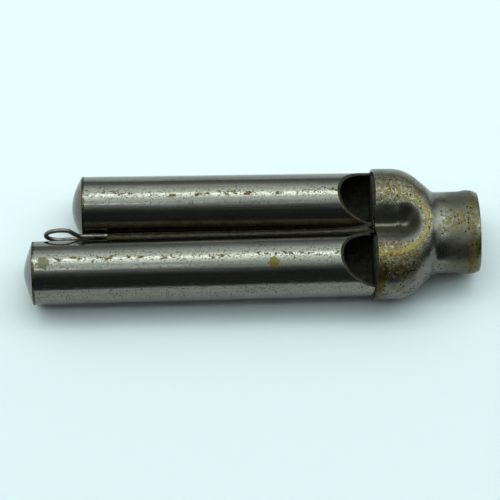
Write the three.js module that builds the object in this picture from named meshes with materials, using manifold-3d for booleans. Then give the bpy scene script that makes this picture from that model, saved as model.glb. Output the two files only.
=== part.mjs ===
// Double-barrel whistle in plated brass: two closed tubes of unequal length, soldered side by side
// into one pressed mouthpiece head, with a wire lanyard loop between them.
// Millimetres, +Z up. +X runs along the tubes towards the mouth, +Z is the side with the windows,
// and the long tube is on the -Y side. Pieces are drawn with x = 0 at the collar's edge and the tube
// axes at z = 0, and the finished whistle is then moved to put its origin at the bottom centre.
import * as THREE from "three";
import { mergeVertices } from "three/addons/utils/BufferGeometryUtils.js";
import Module from "manifold-3d";

const wasm = await Module();
wasm.setup();

// Driving dimensions
const TUBE_RADIUS = 6.35;
const TUBE_WALL = 0.5;
const LONG_REACH = 68.5; // collar edge to the long tube's end seam
const SHORT_REACH = 58.5;
const SOCKET_DEPTH = 4.8; // tube length hidden inside the collar
const AXIS_OFFSET = 6.7; // half the distance between the tube axes at the collar
const SPLAY = 0.0066; // each tube leans out this far, in radians, towards its closed end
const LONG_TURN = THREE.MathUtils.degToRad(3.5); // the long tube sits slightly rolled in its socket
const FIT_GAP = 0.25;
const SOLDER_GAP = 0.3;

const LONG_CAP_HEIGHT = 1.6;
const SHORT_CAP_HEIGHT = 1.9;
const CAP_WALL = 0.5;
const CAP_SKIRT = 2.2;

const WINDOW_LENGTH = 7.2;
const WINDOW_ARC_RADIUS = 21.5;
const WINDOW_ARC_X = 6.9; // axial place of the cutting arc's centre
const PLUG_PROUD = 0.1; // the plug shows this far in front of the collar
const PLUG_FLAT = 5.1; // height of the plug's flat above the tube axis

const COLLAR_RADIUS = 7.2;
const HEAD_WALL = 0.6;
const RIM_SET = -0.25; // axial shift of the collar's edge,
const RIM_LEAN = 0.08; // more of it per millimetre of height,
const RIM_YAW = 0.012; // and per millimetre of width
const SHOULDER_START = 3.7;
const SHOULDER_RADIUS = 7.4;
const SHOULDER_SLOPE = Math.PI / 4;
const NECK_FILLET = 1.5;
const NECK_HALF_WIDTH = 8.55; // the neck and the mouth are oval
const NECK_HALF_HEIGHT = 6.8;
const NECK_START = 13.3; // the plain stretch between the shoulder's fillet and the lip's bead
const NECK_END = 16.6;
const BEAD_PLACE = 19.1;
const BEAD_RISE = 0.27;
const BEAD_SPREAD = 1.3;
const LIP_START = 19.9;
const LIP_DROP = 0.27;
const MOUTH_WALL = 0.75; // thickness of the rolled lip
const HEAD_LENGTH = 21.2;
const VALLEY_FLOOR = 3.3;
const VALLEY_END = 5.4; // the groove's floor starts to climb here
const VALLEY_CREST = 9.3; // and meets the shoulder here
const VALLEY_HALF_WIDTH = 2.4;
const VALLEY_ROUNDING = 0.75;
const VALLEY_FLATNESS = 2.3;
const CREST_HEIGHT = 7.45;
const RIDGE_CREST = 10.9; // the lobes have become one here
const DROP_START = 10.6; // and the shoulder drops to the neck from here
const DROP_END = 12.9;

const WIRE_RADIUS = 0.44;
const LOOP_CENTRE_X = -62.8;
const LOOP_CENTRE_Z = 2.4;
const LOOP_HALF_WIDTH = 3.05;
const LOOP_HALF_HEIGHT = 2.25;
const UPPER_OPENING = 1.0; // angles, in radians, that the eye leaves open above and below for its legs
const LOWER_OPENING = 1.3;
const UPPER_LEG = 1.7; // heights of the two legs above the tube axes
const LOWER_LEG = 0.55;
const LEG_END = -53.6;

// Solder runs: axial start and end, and the height of the top above the tube axes at each
const SEAM_DEPTH = 0.9;
const LOOP_BED = { start: -57.8, end: LEG_END, startTop: -0.2, endTop: -0.2, side: 1 };
const WINDOW_SEAM = { start: -53.2, end: -0.7, startTop: 1.2, endTop: 3.4, side: 1 };
const UNDERSIDE_SEAM = { start: -53.2, end: -0.9, startTop: 1.6, endTop: 3.0, side: -1 };
const COLLAR_FILLET_LENGTH = 1.0;
const COLLAR_FILLET_FROM = THREE.MathUtils.degToRad(78); // angles from +Z towards the outer side
const COLLAR_FILLET_TO = THREE.MathUtils.degToRad(232);

const NICKEL = new THREE.MeshStandardMaterial({ color: 0x8d8b84, roughness: 0.34, metalness: 1 });
const WORN_HEAD = new THREE.MeshStandardMaterial({ color: 0x8c8166, roughness: 0.4, metalness: 1 });
const BARE_BRASS = new THREE.MeshStandardMaterial({ color: 0x8a6f33, roughness: 0.5, metalness: 1 });
const SOLDER = new THREE.MeshStandardMaterial({ color: 0x5c574d, roughness: 0.6, metalness: 0.8 });
const WIRE = new THREE.MeshStandardMaterial({ color: 0x55514a, roughness: 0.4, metalness: 1 });

// Mesh building

function named(name, geometry, material) {
  const mesh = new THREE.Mesh(geometry, material);
  mesh.name = name;
  return mesh;
}

function signedVolume(points, faces) {
  let sum = 0;
  for (const [a, b, c] of faces) {
    sum += points[a].dot(new THREE.Vector3().crossVectors(points[b], points[c]));
  }
  return sum / 6;
}

// Joins rings of equal length into one closed body: round on itself when looped, else with flat ends.
function skin(rings, looped) {
  const points = rings.flat();
  const count = rings[0].length;
  const at = (ring, i) => (ring % rings.length) * count + (i % count);
  const faces = [];
  const spans = looped ? rings.length : rings.length - 1;
  for (let ring = 0; ring < spans; ring++) {
    for (let i = 0; i < count; i++) {
      faces.push([at(ring, i), at(ring, i + 1), at(ring + 1, i + 1)]);
      faces.push([at(ring, i), at(ring + 1, i + 1), at(ring + 1, i)]);
    }
  }
  if (!looped) {
    for (let i = 1; i < count - 1; i++) {
      faces.push([at(0, 0), at(0, i + 1), at(0, i)]);
      faces.push([at(rings.length - 1, 0), at(rings.length - 1, i), at(rings.length - 1, i + 1)]);
    }
  }
  const flip = signedVolume(points, faces) < 0;
  const geometry = new THREE.BufferGeometry().setFromPoints(points);
  geometry.setIndex(faces.flatMap(([a, b, c]) => (flip ? [a, c, b] : [a, b, c])));
  geometry.computeVertexNormals();
  return geometry;
}

function toSolid(geometry) {
  const plain = geometry.clone();
  plain.deleteAttribute("normal");
  plain.deleteAttribute("uv");
  const merged = mergeVertices(plain, 1e-4);
  return new wasm.Manifold(new wasm.Mesh({
    numProp: 3,
    vertProperties: new Float32Array(merged.attributes.position.array),
    triVerts: new Uint32Array(merged.index.array),
  }));
}

function fromSolid(solid) {
  const { vertProperties, triVerts } = solid.getMesh();
  const geometry = new THREE.BufferGeometry();
  geometry.setAttribute("position", new THREE.BufferAttribute(vertProperties, 3));
  geometry.setIndex(new THREE.BufferAttribute(triVerts, 1));
  geometry.computeVertexNormals();
  return geometry;
}

// Turns an outline of [axial, radial] points about the X axis.
function turned(outline, segments) {
  const profile = outline.map(([x, r]) => new THREE.Vector2(r, x));
  const geometry = new THREE.LatheGeometry(profile, segments);
  geometry.rotateZ(-Math.PI / 2);
  return geometry;
}

// Barrels: each is drawn on the X axis with its window facing +Z

function tubeBlank(reach) {
  const inner = TUBE_RADIUS - TUBE_WALL;
  return turned([
    [-reach, inner],
    [-reach, TUBE_RADIUS],
    [SOCKET_DEPTH, TUBE_RADIUS],
    [SOCKET_DEPTH, inner],
    [-reach, inner],
  ], 48);
}

// The window is one sweep of a round cutter that reaches its full depth at the collar's edge. The
// cut goes on to the tube's end under the collar, which leaves the air a way past the plug.
function windowCutter() {
  const apexDrop = Math.sqrt(WINDOW_ARC_RADIUS ** 2 - (WINDOW_LENGTH + WINDOW_ARC_X) ** 2);
  const centreHeight = TUBE_RADIUS + apexDrop;
  const clearHeight = TUBE_RADIUS + 1;
  const startAngle = Math.PI + Math.asin((centreHeight - clearHeight) / WINDOW_ARC_RADIUS);
  const collarAngle = Math.PI + Math.acos(WINDOW_ARC_X / WINDOW_ARC_RADIUS);
  const shape = new THREE.Shape();
  shape.absarc(WINDOW_ARC_X, centreHeight, WINDOW_ARC_RADIUS, startAngle, collarAngle, false);
  const floor = centreHeight + WINDOW_ARC_RADIUS * Math.sin(collarAngle);
  shape.lineTo(SOCKET_DEPTH + 1, floor);
  shape.lineTo(SOCKET_DEPTH + 1, clearHeight);
  const width = 2 * TUBE_RADIUS + 2;
  const options = { depth: width, bevelEnabled: false, curveSegments: 14 };
  const geometry = new THREE.ExtrudeGeometry(shape, options);
  geometry.rotateX(Math.PI / 2);
  geometry.translate(0, width / 2, 0);
  return geometry;
}

function tube(reach) {
  return fromSolid(toSolid(tubeBlank(reach)).subtract(toSolid(windowCutter())));
}

// A shallow pressed dish on the tube's end, with a skirt that plugs into the bore.
function endCap(reach, height) {
  const seat = -reach - FIT_GAP;
  const domeRadius = (TUBE_RADIUS ** 2 + height ** 2) / (2 * height);
  const domeCentre = seat - height + domeRadius;
  const skirt = TUBE_RADIUS - TUBE_WALL - FIT_GAP;
  const outline = [];
  const steps = 8;
  for (let i = 0; i <= steps; i++) {
    const r = (TUBE_RADIUS * i) / steps;
    outline.push([domeCentre - Math.sqrt(domeRadius ** 2 - r ** 2), r]);
  }
  outline.push([seat, skirt]);
  outline.push([-reach + CAP_SKIRT, skirt]);
  outline.push([-reach + CAP_SKIRT, skirt - CAP_WALL]);
  outline.push([seat, skirt - CAP_WALL]);
  outline.push([seat - height + CAP_WALL, 0]);
  return turned(outline, 48);
}

// The fipple plug fills the bore behind the window; the flat along its top is the windway's floor.
function fipplePlug() {
  const radius = TUBE_RADIUS - TUBE_WALL - FIT_GAP;
  const half = Math.acos(PLUG_FLAT / radius);
  const shape = new THREE.Shape();
  shape.absarc(0, 0, radius, Math.PI / 2 + half, 2.5 * Math.PI - half, false);
  const length = PLUG_PROUD + SOCKET_DEPTH;
  const options = { depth: length, bevelEnabled: false, curveSegments: 36 };
  const geometry = new THREE.ExtrudeGeometry(shape, options);
  geometry.rotateX(Math.PI / 2);
  geometry.rotateZ(Math.PI / 2);
  geometry.translate(-PLUG_PROUD, 0, 0);
  return geometry;
}

function barrel(prefix, reach, capHeight, side, turn) {
  const rolled = new THREE.Group();
  rolled.rotation.x = turn;
  rolled.add(named(`${prefix}_tube`, tube(reach), NICKEL));
  rolled.add(named(`${prefix}_tube_end_cap`, endCap(reach, capHeight), NICKEL));
  rolled.add(named(`${prefix}_tube_fipple_plug`, fipplePlug(), BARE_BRASS));
  const splayed = new THREE.Group();
  splayed.rotation.z = -side * SPLAY;
  splayed.position.y = side * AXIS_OFFSET;
  splayed.add(rolled);
  return splayed;
}

// Head: one pressed shell, a two-lobed collar that runs over a shoulder into an oval neck

function smooth(low, high, x) {
  return THREE.MathUtils.smoothstep(x, low, high);
}

// Half the head's width seen from above: straight, a rounded shoulder, a slope, a fillet, the neck.
function halfWidth(x) {
  const full = AXIS_OFFSET + COLLAR_RADIUS;
  const bendEnd = SHOULDER_START + SHOULDER_RADIUS * Math.sin(SHOULDER_SLOPE);
  const bendHeight = full - SHOULDER_RADIUS * (1 - Math.cos(SHOULDER_SLOPE));
  const corner = bendEnd + (bendHeight - NECK_HALF_WIDTH) / Math.tan(SHOULDER_SLOPE);
  const tangent = NECK_FILLET * Math.tan(SHOULDER_SLOPE / 2);
  const filletStart = corner - tangent * Math.cos(SHOULDER_SLOPE);
  const filletEnd = corner + tangent;
  if (x <= SHOULDER_START) return full;
  if (x <= bendEnd) {
    return full - SHOULDER_RADIUS + Math.sqrt(SHOULDER_RADIUS ** 2 - (x - SHOULDER_START) ** 2);
  }
  if (x <= filletStart) return bendHeight - (x - bendEnd) * Math.tan(SHOULDER_SLOPE);
  if (x <= filletEnd) {
    return NECK_HALF_WIDTH + NECK_FILLET - Math.sqrt(NECK_FILLET ** 2 - (filletEnd - x) ** 2);
  }
  return NECK_HALF_WIDTH + beadAndLip(x);
}

// How far the surface stands out from the plain neck at the lip's bead and at its rounded end.
function beadAndLip(x) {
  const bead = BEAD_RISE * Math.exp(-(((x - BEAD_PLACE) / BEAD_SPREAD) ** 2));
  const lip = LIP_DROP * (Math.max(0, x - LIP_START) / (HEAD_LENGTH - LIP_START)) ** 2;
  return bead - lip;
}

// Half the head's height along its crest: a slight swell to the shoulder, then a drop to the neck.
function crestHeight(x) {
  const swell = smooth(SHOULDER_START, DROP_START, x);
  const shoulder = THREE.MathUtils.lerp(COLLAR_RADIUS, CREST_HEIGHT, swell);
  const drop = smooth(DROP_START, DROP_END, x);
  return THREE.MathUtils.lerp(shoulder, NECK_HALF_HEIGHT, drop) + beadAndLip(x);
}

// Height of the head's surface above its mid-plane at one place along and across it. Each side is a
// round lobe; between the lobes a groove is pressed in, whose floor climbs to the shoulder's crest.
function headHeight(x, y) {
  const width = halfWidth(x);
  const growth = smooth(SHOULDER_START, RIDGE_CREST, x);
  const bulge = THREE.MathUtils.lerp(COLLAR_RADIUS, NECK_HALF_WIDTH, growth);
  const crown = Math.max(0, width - bulge) * (1 - smooth(RIDGE_CREST, RIDGE_CREST + 2, x));
  const lobe = width - crown;
  const roundness = crestHeight(x) / lobe;
  const across = Math.abs(y);
  if (across >= width) return 0;
  if (across >= crown) return roundness * Math.sqrt(lobe ** 2 - (across - crown) ** 2);
  const power = VALLEY_FLATNESS;
  const rounded = (across ** power + VALLEY_ROUNDING ** power) ** (1 / power);
  const round = roundness * Math.sqrt(lobe ** 2 - Math.max(0, crown - rounded) ** 2);
  const roundFloor = roundness * Math.sqrt(lobe ** 2 - crown ** 2);
  const floor = THREE.MathUtils.lerp(VALLEY_FLOOR, roundFloor, smooth(VALLEY_END, VALLEY_CREST, x));
  const press = 1 - Math.min(1, floor / roundFloor);
  return round * (1 - press * Math.exp(-((y / VALLEY_HALF_WIDTH) ** 2)));
}

// Distance from the head's centre line to its surface along a ray at an angle from +Z.
function headRay(x, angle) {
  let low = 0;
  let high = 2 * (AXIS_OFFSET + COLLAR_RADIUS);
  for (let i = 0; i < 40; i++) {
    const middle = (low + high) / 2;
    const inside = Math.abs(middle * Math.cos(angle)) < headHeight(x, middle * Math.sin(angle));
    if (inside) low = middle;
    else high = middle;
  }
  return low;
}

// The collar's edge leans: its window side is set back towards the mouth.
function rimShift(x, y, z) {
  return (RIM_SET + RIM_LEAN * z + RIM_YAW * y) * (1 - smooth(0, SHOULDER_START, x));
}

function headPoint(x, angle, inset) {
  const reach = headRay(x, angle);
  const step = 0.05;
  const y = reach * Math.sin(angle);
  const z = reach * Math.cos(angle);
  const next = headRay(x, angle + step);
  const last = headRay(x, angle - step);
  const around = new THREE.Vector3(
    0,
    next * Math.sin(angle + step) - last * Math.sin(angle - step),
    next * Math.cos(angle + step) - last * Math.cos(angle - step),
  );
  const slope = (headRay(x + step, angle) - headRay(Math.max(0, x - step), angle)) / (2 * step);
  const along = new THREE.Vector3(1, slope * Math.sin(angle), slope * Math.cos(angle));
  const inward = new THREE.Vector3().crossVectors(around, along).normalize().multiplyScalar(inset);
  return new THREE.Vector3(x + inward.x, y + inward.y, z + inward.z);
}

function headRing(x, inset) {
  const quarter = 12;
  const ring = [];
  for (let i = 0; i < 4 * quarter; i++) {
    const turnOver = Math.floor(i / quarter);
    const part = (i % quarter) / quarter;
    const bunch = (t) => t ** 1.25;
    const share = turnOver % 2 === 0 ? bunch(part) : 1 - bunch(1 - part);
    ring.push(headPoint(x, (turnOver + share) * (Math.PI / 2), inset));
  }
  return ring.map((p) => new THREE.Vector3(p.x + rimShift(p.x, p.y, p.z), p.y, p.z));
}

function headShell() {
  const shoulderSteps = 12;
  const lipSteps = 7;
  const innerStations = [0, SHOULDER_START / 2];
  for (let i = 0; i <= shoulderSteps; i++) {
    innerStations.push(SHOULDER_START + (i / shoulderSteps) * (NECK_START - SHOULDER_START));
  }
  const outerStations = [...innerStations];
  for (let i = 0; i <= lipSteps; i++) {
    outerStations.push(NECK_END + (i / lipSteps) * (HEAD_LENGTH - NECK_END));
  }
  const outer = outerStations.map((x) => headRing(x, 0));
  const inner = innerStations.map((x) => headRing(x, HEAD_WALL));
  const endWidth = NECK_HALF_WIDTH + beadAndLip(HEAD_LENGTH);
  const endHeight = NECK_HALF_HEIGHT + beadAndLip(HEAD_LENGTH);
  const mouthRing = outer[outer.length - 1].map((p) => new THREE.Vector3(
    HEAD_LENGTH,
    p.y * (1 - MOUTH_WALL / endWidth),
    p.z * (1 - MOUTH_WALL / endHeight),
  ));
  return skin([...outer, mouthRing, ...inner.reverse()], true);
}

// Wire loop: an oval standing in the mid-plane, its two legs one above the other between the tubes

function legPoints(height) {
  const distances = [0, 1.9, 3.8, 5.7];
  return distances.map((distance) => new THREE.Vector3(LEG_END - distance, 0, height));
}

function lanyardLoop() {
  const bend = [];
  const steps = 20;
  for (let i = 0; i <= steps; i++) {
    const angle = THREE.MathUtils.lerp(UPPER_OPENING, 2 * Math.PI - LOWER_OPENING, i / steps);
    const x = LOOP_CENTRE_X + LOOP_HALF_WIDTH * Math.cos(angle);
    const z = LOOP_CENTRE_Z + LOOP_HALF_HEIGHT * Math.sin(angle);
    bend.push(new THREE.Vector3(x, 0, z));
  }
  const points = [...legPoints(UPPER_LEG), ...bend, ...legPoints(LOWER_LEG).reverse()];
  const path = new THREE.CatmullRomCurve3(points, false, "centripetal");
  const section = new THREE.Shape();
  section.absarc(0, 0, WIRE_RADIUS, 0, 2 * Math.PI, false);
  const options = { steps: 72, extrudePath: path, bevelEnabled: false, curveSegments: 8 };
  return new THREE.ExtrudeGeometry(section, options);
}

// Solder

// Half the clear width between the two tubes at one place along and above them.
function halfGap(x, z) {
  return AXIS_OFFSET - x * SPLAY - Math.sqrt(TUBE_RADIUS ** 2 - z ** 2);
}

// A ribbon of solder in the groove, on the side given. Its root lies between the tubes and its
// surface climbs out of the groove towards the head.
function grooveSolder({ start, end, startTop, endTop, side }) {
  const sections = 10;
  const rings = [];
  for (let i = 0; i <= sections; i++) {
    const share = i / sections;
    const x = start + share * (end - start);
    const top = startTop + share ** 2 * (endTop - startTop);
    const root = top - SEAM_DEPTH;
    const low = Math.max(0.1, halfGap(x, root) - SOLDER_GAP);
    const high = Math.max(0.1, halfGap(x, top) - SOLDER_GAP);
    rings.push([
      new THREE.Vector3(x, -low, side * root),
      new THREE.Vector3(x, low, side * root),
      new THREE.Vector3(x, high, side * top),
      new THREE.Vector3(x, -high, side * top),
    ]);
  }
  return skin(rings, false);
}

// A fillet of solder round the outer and lower side of one tube, against the collar's edge.
function collarSolder(side) {
  const inner = TUBE_RADIUS + FIT_GAP;
  const outer = COLLAR_RADIUS - 0.1;
  const rings = [];
  const steps = 16;
  for (let i = 0; i <= steps; i++) {
    const angle = THREE.MathUtils.lerp(COLLAR_FILLET_FROM, COLLAR_FILLET_TO, i / steps);
    const place = (x, r) => {
      const y = side * (AXIS_OFFSET + r * Math.sin(angle));
      const z = r * Math.cos(angle);
      return new THREE.Vector3(x + rimShift(0, y, z) - SOLDER_GAP, y, z);
    };
    rings.push([place(-COLLAR_FILLET_LENGTH, inner), place(0, inner), place(0, outer)]);
  }
  return skin(rings, false);
}

// Assembly

const whistle = new THREE.Group();
whistle.add(barrel("long", LONG_REACH, LONG_CAP_HEIGHT, -1, LONG_TURN));
whistle.add(barrel("short", SHORT_REACH, SHORT_CAP_HEIGHT, 1, 0));
whistle.add(named("mouthpiece_head", headShell(), WORN_HEAD));
whistle.add(named("lanyard_loop", lanyardLoop(), WIRE));
whistle.add(named("loop_solder", grooveSolder(LOOP_BED), SOLDER));
whistle.add(named("window_side_seam", grooveSolder(WINDOW_SEAM), SOLDER));
whistle.add(named("underside_seam", grooveSolder(UNDERSIDE_SEAM), SOLDER));
whistle.add(named("long_collar_solder", collarSolder(-1), SOLDER));
whistle.add(named("short_collar_solder", collarSolder(1), SOLDER));

const bounds = new THREE.Box3().setFromObject(whistle, true);
whistle.position.set(
  -(bounds.min.x + bounds.max.x) / 2,
  -(bounds.min.y + bounds.max.y) / 2,
  -bounds.min.z,
);
const group = new THREE.Group();
group.add(whistle);

export default group;
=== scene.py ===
"""Double-barrel call whistle in worn nickel plate over brass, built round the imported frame.

Whistle coordinates are used for drawing: x = 0 at the collar's edge, z = 0 at the tube axes, +X
towards the mouth, +Y towards the short tube, +Z out of the window side. Lengths are in metres.
"""

from __future__ import annotations

import logging
import math
from dataclasses import dataclass, field
from enum import Enum
from typing import Callable, Optional, Sequence

import bpy
import numpy as np
from mathutils import Matrix, Vector


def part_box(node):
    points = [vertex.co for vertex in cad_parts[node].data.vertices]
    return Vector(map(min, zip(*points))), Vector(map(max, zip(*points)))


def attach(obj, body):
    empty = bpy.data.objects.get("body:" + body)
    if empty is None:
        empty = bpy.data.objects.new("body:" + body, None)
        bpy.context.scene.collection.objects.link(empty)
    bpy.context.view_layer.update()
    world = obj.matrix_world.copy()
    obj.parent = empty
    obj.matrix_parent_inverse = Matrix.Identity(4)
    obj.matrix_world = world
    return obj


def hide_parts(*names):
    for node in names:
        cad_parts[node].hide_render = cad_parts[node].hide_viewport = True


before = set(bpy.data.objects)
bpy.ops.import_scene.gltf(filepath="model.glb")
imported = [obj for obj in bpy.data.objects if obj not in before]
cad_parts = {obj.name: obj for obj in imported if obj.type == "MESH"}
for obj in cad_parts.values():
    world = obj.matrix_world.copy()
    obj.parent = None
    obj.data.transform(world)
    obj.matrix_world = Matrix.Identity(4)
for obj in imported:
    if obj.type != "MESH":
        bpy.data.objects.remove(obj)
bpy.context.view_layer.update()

MM = 0.001
LOG = logging.getLogger("whistle")
Array = np.ndarray
Socket = bpy.types.NodeSocket
Colour = tuple[float, float, float]
Place = tuple[float, float, float]


# Shared choices, sizes and places


class Axis(Enum):
    """The row's axes."""

    X = "X"
    Y = "Y"
    Z = "Z"


class Tube(Enum):
    """The two tubes, by the side of the middle that each lies on."""

    LONG = -1
    SHORT = 1


class Groove(Enum):
    """The two grooves between the tubes, by the way that each faces."""

    WINDOW_SIDE = 1
    UNDERSIDE = -1


@dataclass(frozen=True)
class Datum:
    """Sizes that several sub-assemblies share, and the move from whistle to row coordinates."""

    edge_x: float
    axis_z: float
    head_length: float = 21.2 * MM
    tube_radius: float = 6.35 * MM
    tube_wall: float = 0.5 * MM
    axis_offset: float = 6.7 * MM
    splay: float = 0.0066
    socket_depth: float = 4.8 * MM
    rim_set: float = -0.25 * MM
    rim_lean: float = 0.08
    rim_yaw: float = 0.012

    @classmethod
    def from_frame(cls) -> "Datum":
        """Reads the collar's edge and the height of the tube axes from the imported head.

        Returns:
            The datum that every sub-assembly is drawn from.
        """
        low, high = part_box("mouthpiece_head")
        return cls(edge_x=high.x - cls.head_length, axis_z=(low.z + high.z) / 2)

    @property
    def bore(self) -> float:
        """Inner radius of a tube."""
        return self.tube_radius - self.tube_wall

    def rim_x(self, y: Array, z: Array) -> Array:
        """Axial place of the collar's edge, which leans back on the window side."""
        return self.rim_set + self.rim_lean * z + self.rim_yaw * y

    def to_row(self, points: Array) -> Array:
        """Moves points, whose last axis holds x, y and z, from whistle to row coordinates."""
        return points + np.array([self.edge_x, 0.0, self.axis_z])


# Small numeric helpers


def smooth(low: float, high: float, value: Array | float) -> Array:
    """Smoothstep of a value between two limits.

    Args:
        low: Where the step starts.
        high: Where it ends.
        value: The value or values.

    Returns:
        0 below low, 1 above high, and a smooth rise between.
    """
    share = np.clip((np.asarray(value, float) - low) / (high - low), 0.0, 1.0)
    return share * share * (3.0 - 2.0 * share)


def lerp(start: Array | float, end: Array | float, share: Array | float) -> Array:
    """Linear blend of start and end by share."""
    return start + (end - start) * share


def hump(value: Array, centre: float, spread: float) -> Array:
    """A bell curve: 1 where the value is the centre, falling off over the spread."""
    return np.exp(-(((value - centre) / spread) ** 2))


def band(value: Array, rise: tuple[float, float], fall: tuple[float, float]) -> Array:
    """1 between a smooth rise and a smooth fall, each given by its two limits, and 0 outside them."""
    return smooth(*rise, value) * (1 - smooth(*fall, value))


def turned(points: Array, angle: float, axis: Axis) -> Array:
    """Turns points by an angle in radians about an axis."""
    return points @ np.array(Matrix.Rotation(angle, 3, axis.value)).T


def circle(count: int) -> Array:
    """Evenly spread angles round a full turn, in radians."""
    return np.linspace(0.0, 2 * math.pi, count, endpoint=False)


# Mesh building


@dataclass
class Draft:
    """A mesh in the making: points, faces, named point values and perhaps a finish per face."""

    points: list[Array] = field(default_factory=list)
    faces: list[tuple[int, ...]] = field(default_factory=list)
    finishes: list[int] = field(default_factory=list)
    masks: dict[str, list[Array]] = field(default_factory=dict)
    count: int = 0

    def add_points(self, points: Array, **masks: Array) -> int:
        """Adds points with their masks.

        Args:
            points: Points by 3 coordinates.
            **masks: One value per point for each named mask; masks left out are zero.

        Returns:
            The index of the first new point.
        """
        first = self.count
        flat = np.asarray(points, float).reshape(-1, 3)
        self.points.append(flat)
        for name in set(self.masks) | set(masks):
            filled = self.masks.setdefault(name, [np.zeros(first)] if first else [])
            values = masks.get(name)
            filled.append(np.zeros(len(flat)) if values is None else np.asarray(values, float).ravel())
        self.count += len(flat)
        return first

    def sheet(self, grid: Array, loop_rows: bool, **masks: Array) -> int:
        """Adds a grid of quads whose last column joins the first.

        Args:
            grid: Rows by columns by 3 coordinates.
            loop_rows: Whether the last row joins the first as well.
            **masks: Values per point, rows by columns.

        Returns:
            The index of the first point.
        """
        rows, columns = grid.shape[:2]
        first = self.add_points(grid, **masks)
        for row in range(rows if loop_rows else rows - 1):
            here = first + row * columns
            below = first + (row + 1) % rows * columns
            for left in range(columns):
                right = (left + 1) % columns
                self.faces.append((here + left, here + right, below + right, below + left))
        return first

    def fan(self, ring: Sequence[int], tip: Array, **masks: float) -> None:
        """Closes a ring of points with triangles to one tip.

        Args:
            ring: Indices of the ring's points, in order.
            tip: The tip's place.
            **masks: The tip's mask values.
        """
        values = {name: np.array([value]) for name, value in masks.items()}
        centre = self.add_points(np.asarray(tip)[None], **values)
        for here, after in zip(ring, [*ring[1:], ring[0]]):
            self.faces.append((here, after, centre))

    def solid(self, grid: Array, start: Optional[Array] = None, end: Optional[Array] = None,
              **masks: Array) -> None:
        """Adds a grid whose last column joins the first, and closes both its ends.

        Args:
            grid: Rows by columns by 3 coordinates.
            start: The tip that closes the first row; that row's middle when left out.
            end: The tip that closes the last row; that row's middle when left out.
            **masks: Values per point, rows by columns; a tip takes its row's mean.
        """
        columns = grid.shape[1]
        first = self.sheet(grid, False, **masks)
        last = first + (len(grid) - 1) * columns
        near = [first + i for i in reversed(range(columns))]
        far = [last + i for i in range(columns)]
        for ring, row, tip in ((near, 0, start), (far, -1, end)):
            place = grid[row].mean(axis=0) if tip is None else tip
            self.fan(ring, place, **{name: values[row].mean() for name, values in masks.items()})

    def build(self, name: str, datum: Datum) -> bpy.types.Object:
        """Makes the object, with its faces pointing out and smooth shading.

        Args:
            name: The object's name.
            datum: Moves the points from whistle to row coordinates.

        Returns:
            The new object.
        """
        mesh = bpy.data.meshes.new(name)
        places = datum.to_row(np.concatenate(self.points))
        mesh.from_pydata(places.tolist(), [], self.faces)
        if self.finishes:
            mesh.polygons.foreach_set("material_index", self.finishes)
        if signed_volume(mesh) < 0:
            mesh.flip_normals()
        mesh.shade_smooth()
        for mask, parts in self.masks.items():
            layer = mesh.attributes.new(mask, "FLOAT", "POINT")
            layer.data.foreach_set("value", np.concatenate(parts).astype(np.float32))
        mesh.validate()
        made = bpy.data.objects.new(name, mesh)
        bpy.context.scene.collection.objects.link(made)
        return made


def signed_volume(mesh: bpy.types.Mesh) -> float:
    """Volume that a mesh's faces enclose, negative when they point inwards.

    Args:
        mesh: A closed mesh.

    Returns:
        The signed volume in cubic metres.
    """
    mesh.calc_loop_triangles()
    corners = np.zeros(len(mesh.vertices) * 3)
    mesh.vertices.foreach_get("co", corners)
    corners = corners.reshape(-1, 3)
    triangles = np.zeros(len(mesh.loop_triangles) * 3, int)
    mesh.loop_triangles.foreach_get("vertices", triangles)
    a, b, c = (corners[triangles.reshape(-1, 3)[:, i]] for i in range(3))
    return float(np.einsum("ij,ij->i", a, np.cross(b, c)).sum() / 6)


def dress(piece: bpy.types.Object, slot: str, node: str, *materials: bpy.types.Material) -> None:
    """Gives a piece its materials and its body, and hides the CAD node that it stands for.

    Args:
        piece: The new piece.
        slot: The record's material slot; not used.
        node: The CAD node that it replaces.
        *materials: Materials in the order of the faces' finish numbers.
    """
    for material in materials:
        piece.data.materials.append(material)
    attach(piece, "root")
    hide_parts(node)
    LOG.info("%s: %d faces", piece.name, len(piece.data.polygons))


# Shader building


@dataclass(frozen=True)
class Grain:
    """A noise pattern: features per millimetre, finer layers, and how strong each of those is."""

    per_mm: float
    detail: float
    grit: float = 0.5


@dataclass(frozen=True)
class Relief:
    """Unevenness of a surface: its pattern, its height in metres and its stretch along the axes."""

    grain: Grain
    height: float
    stretch: Colour = (1.0, 1.0, 1.0)


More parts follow.
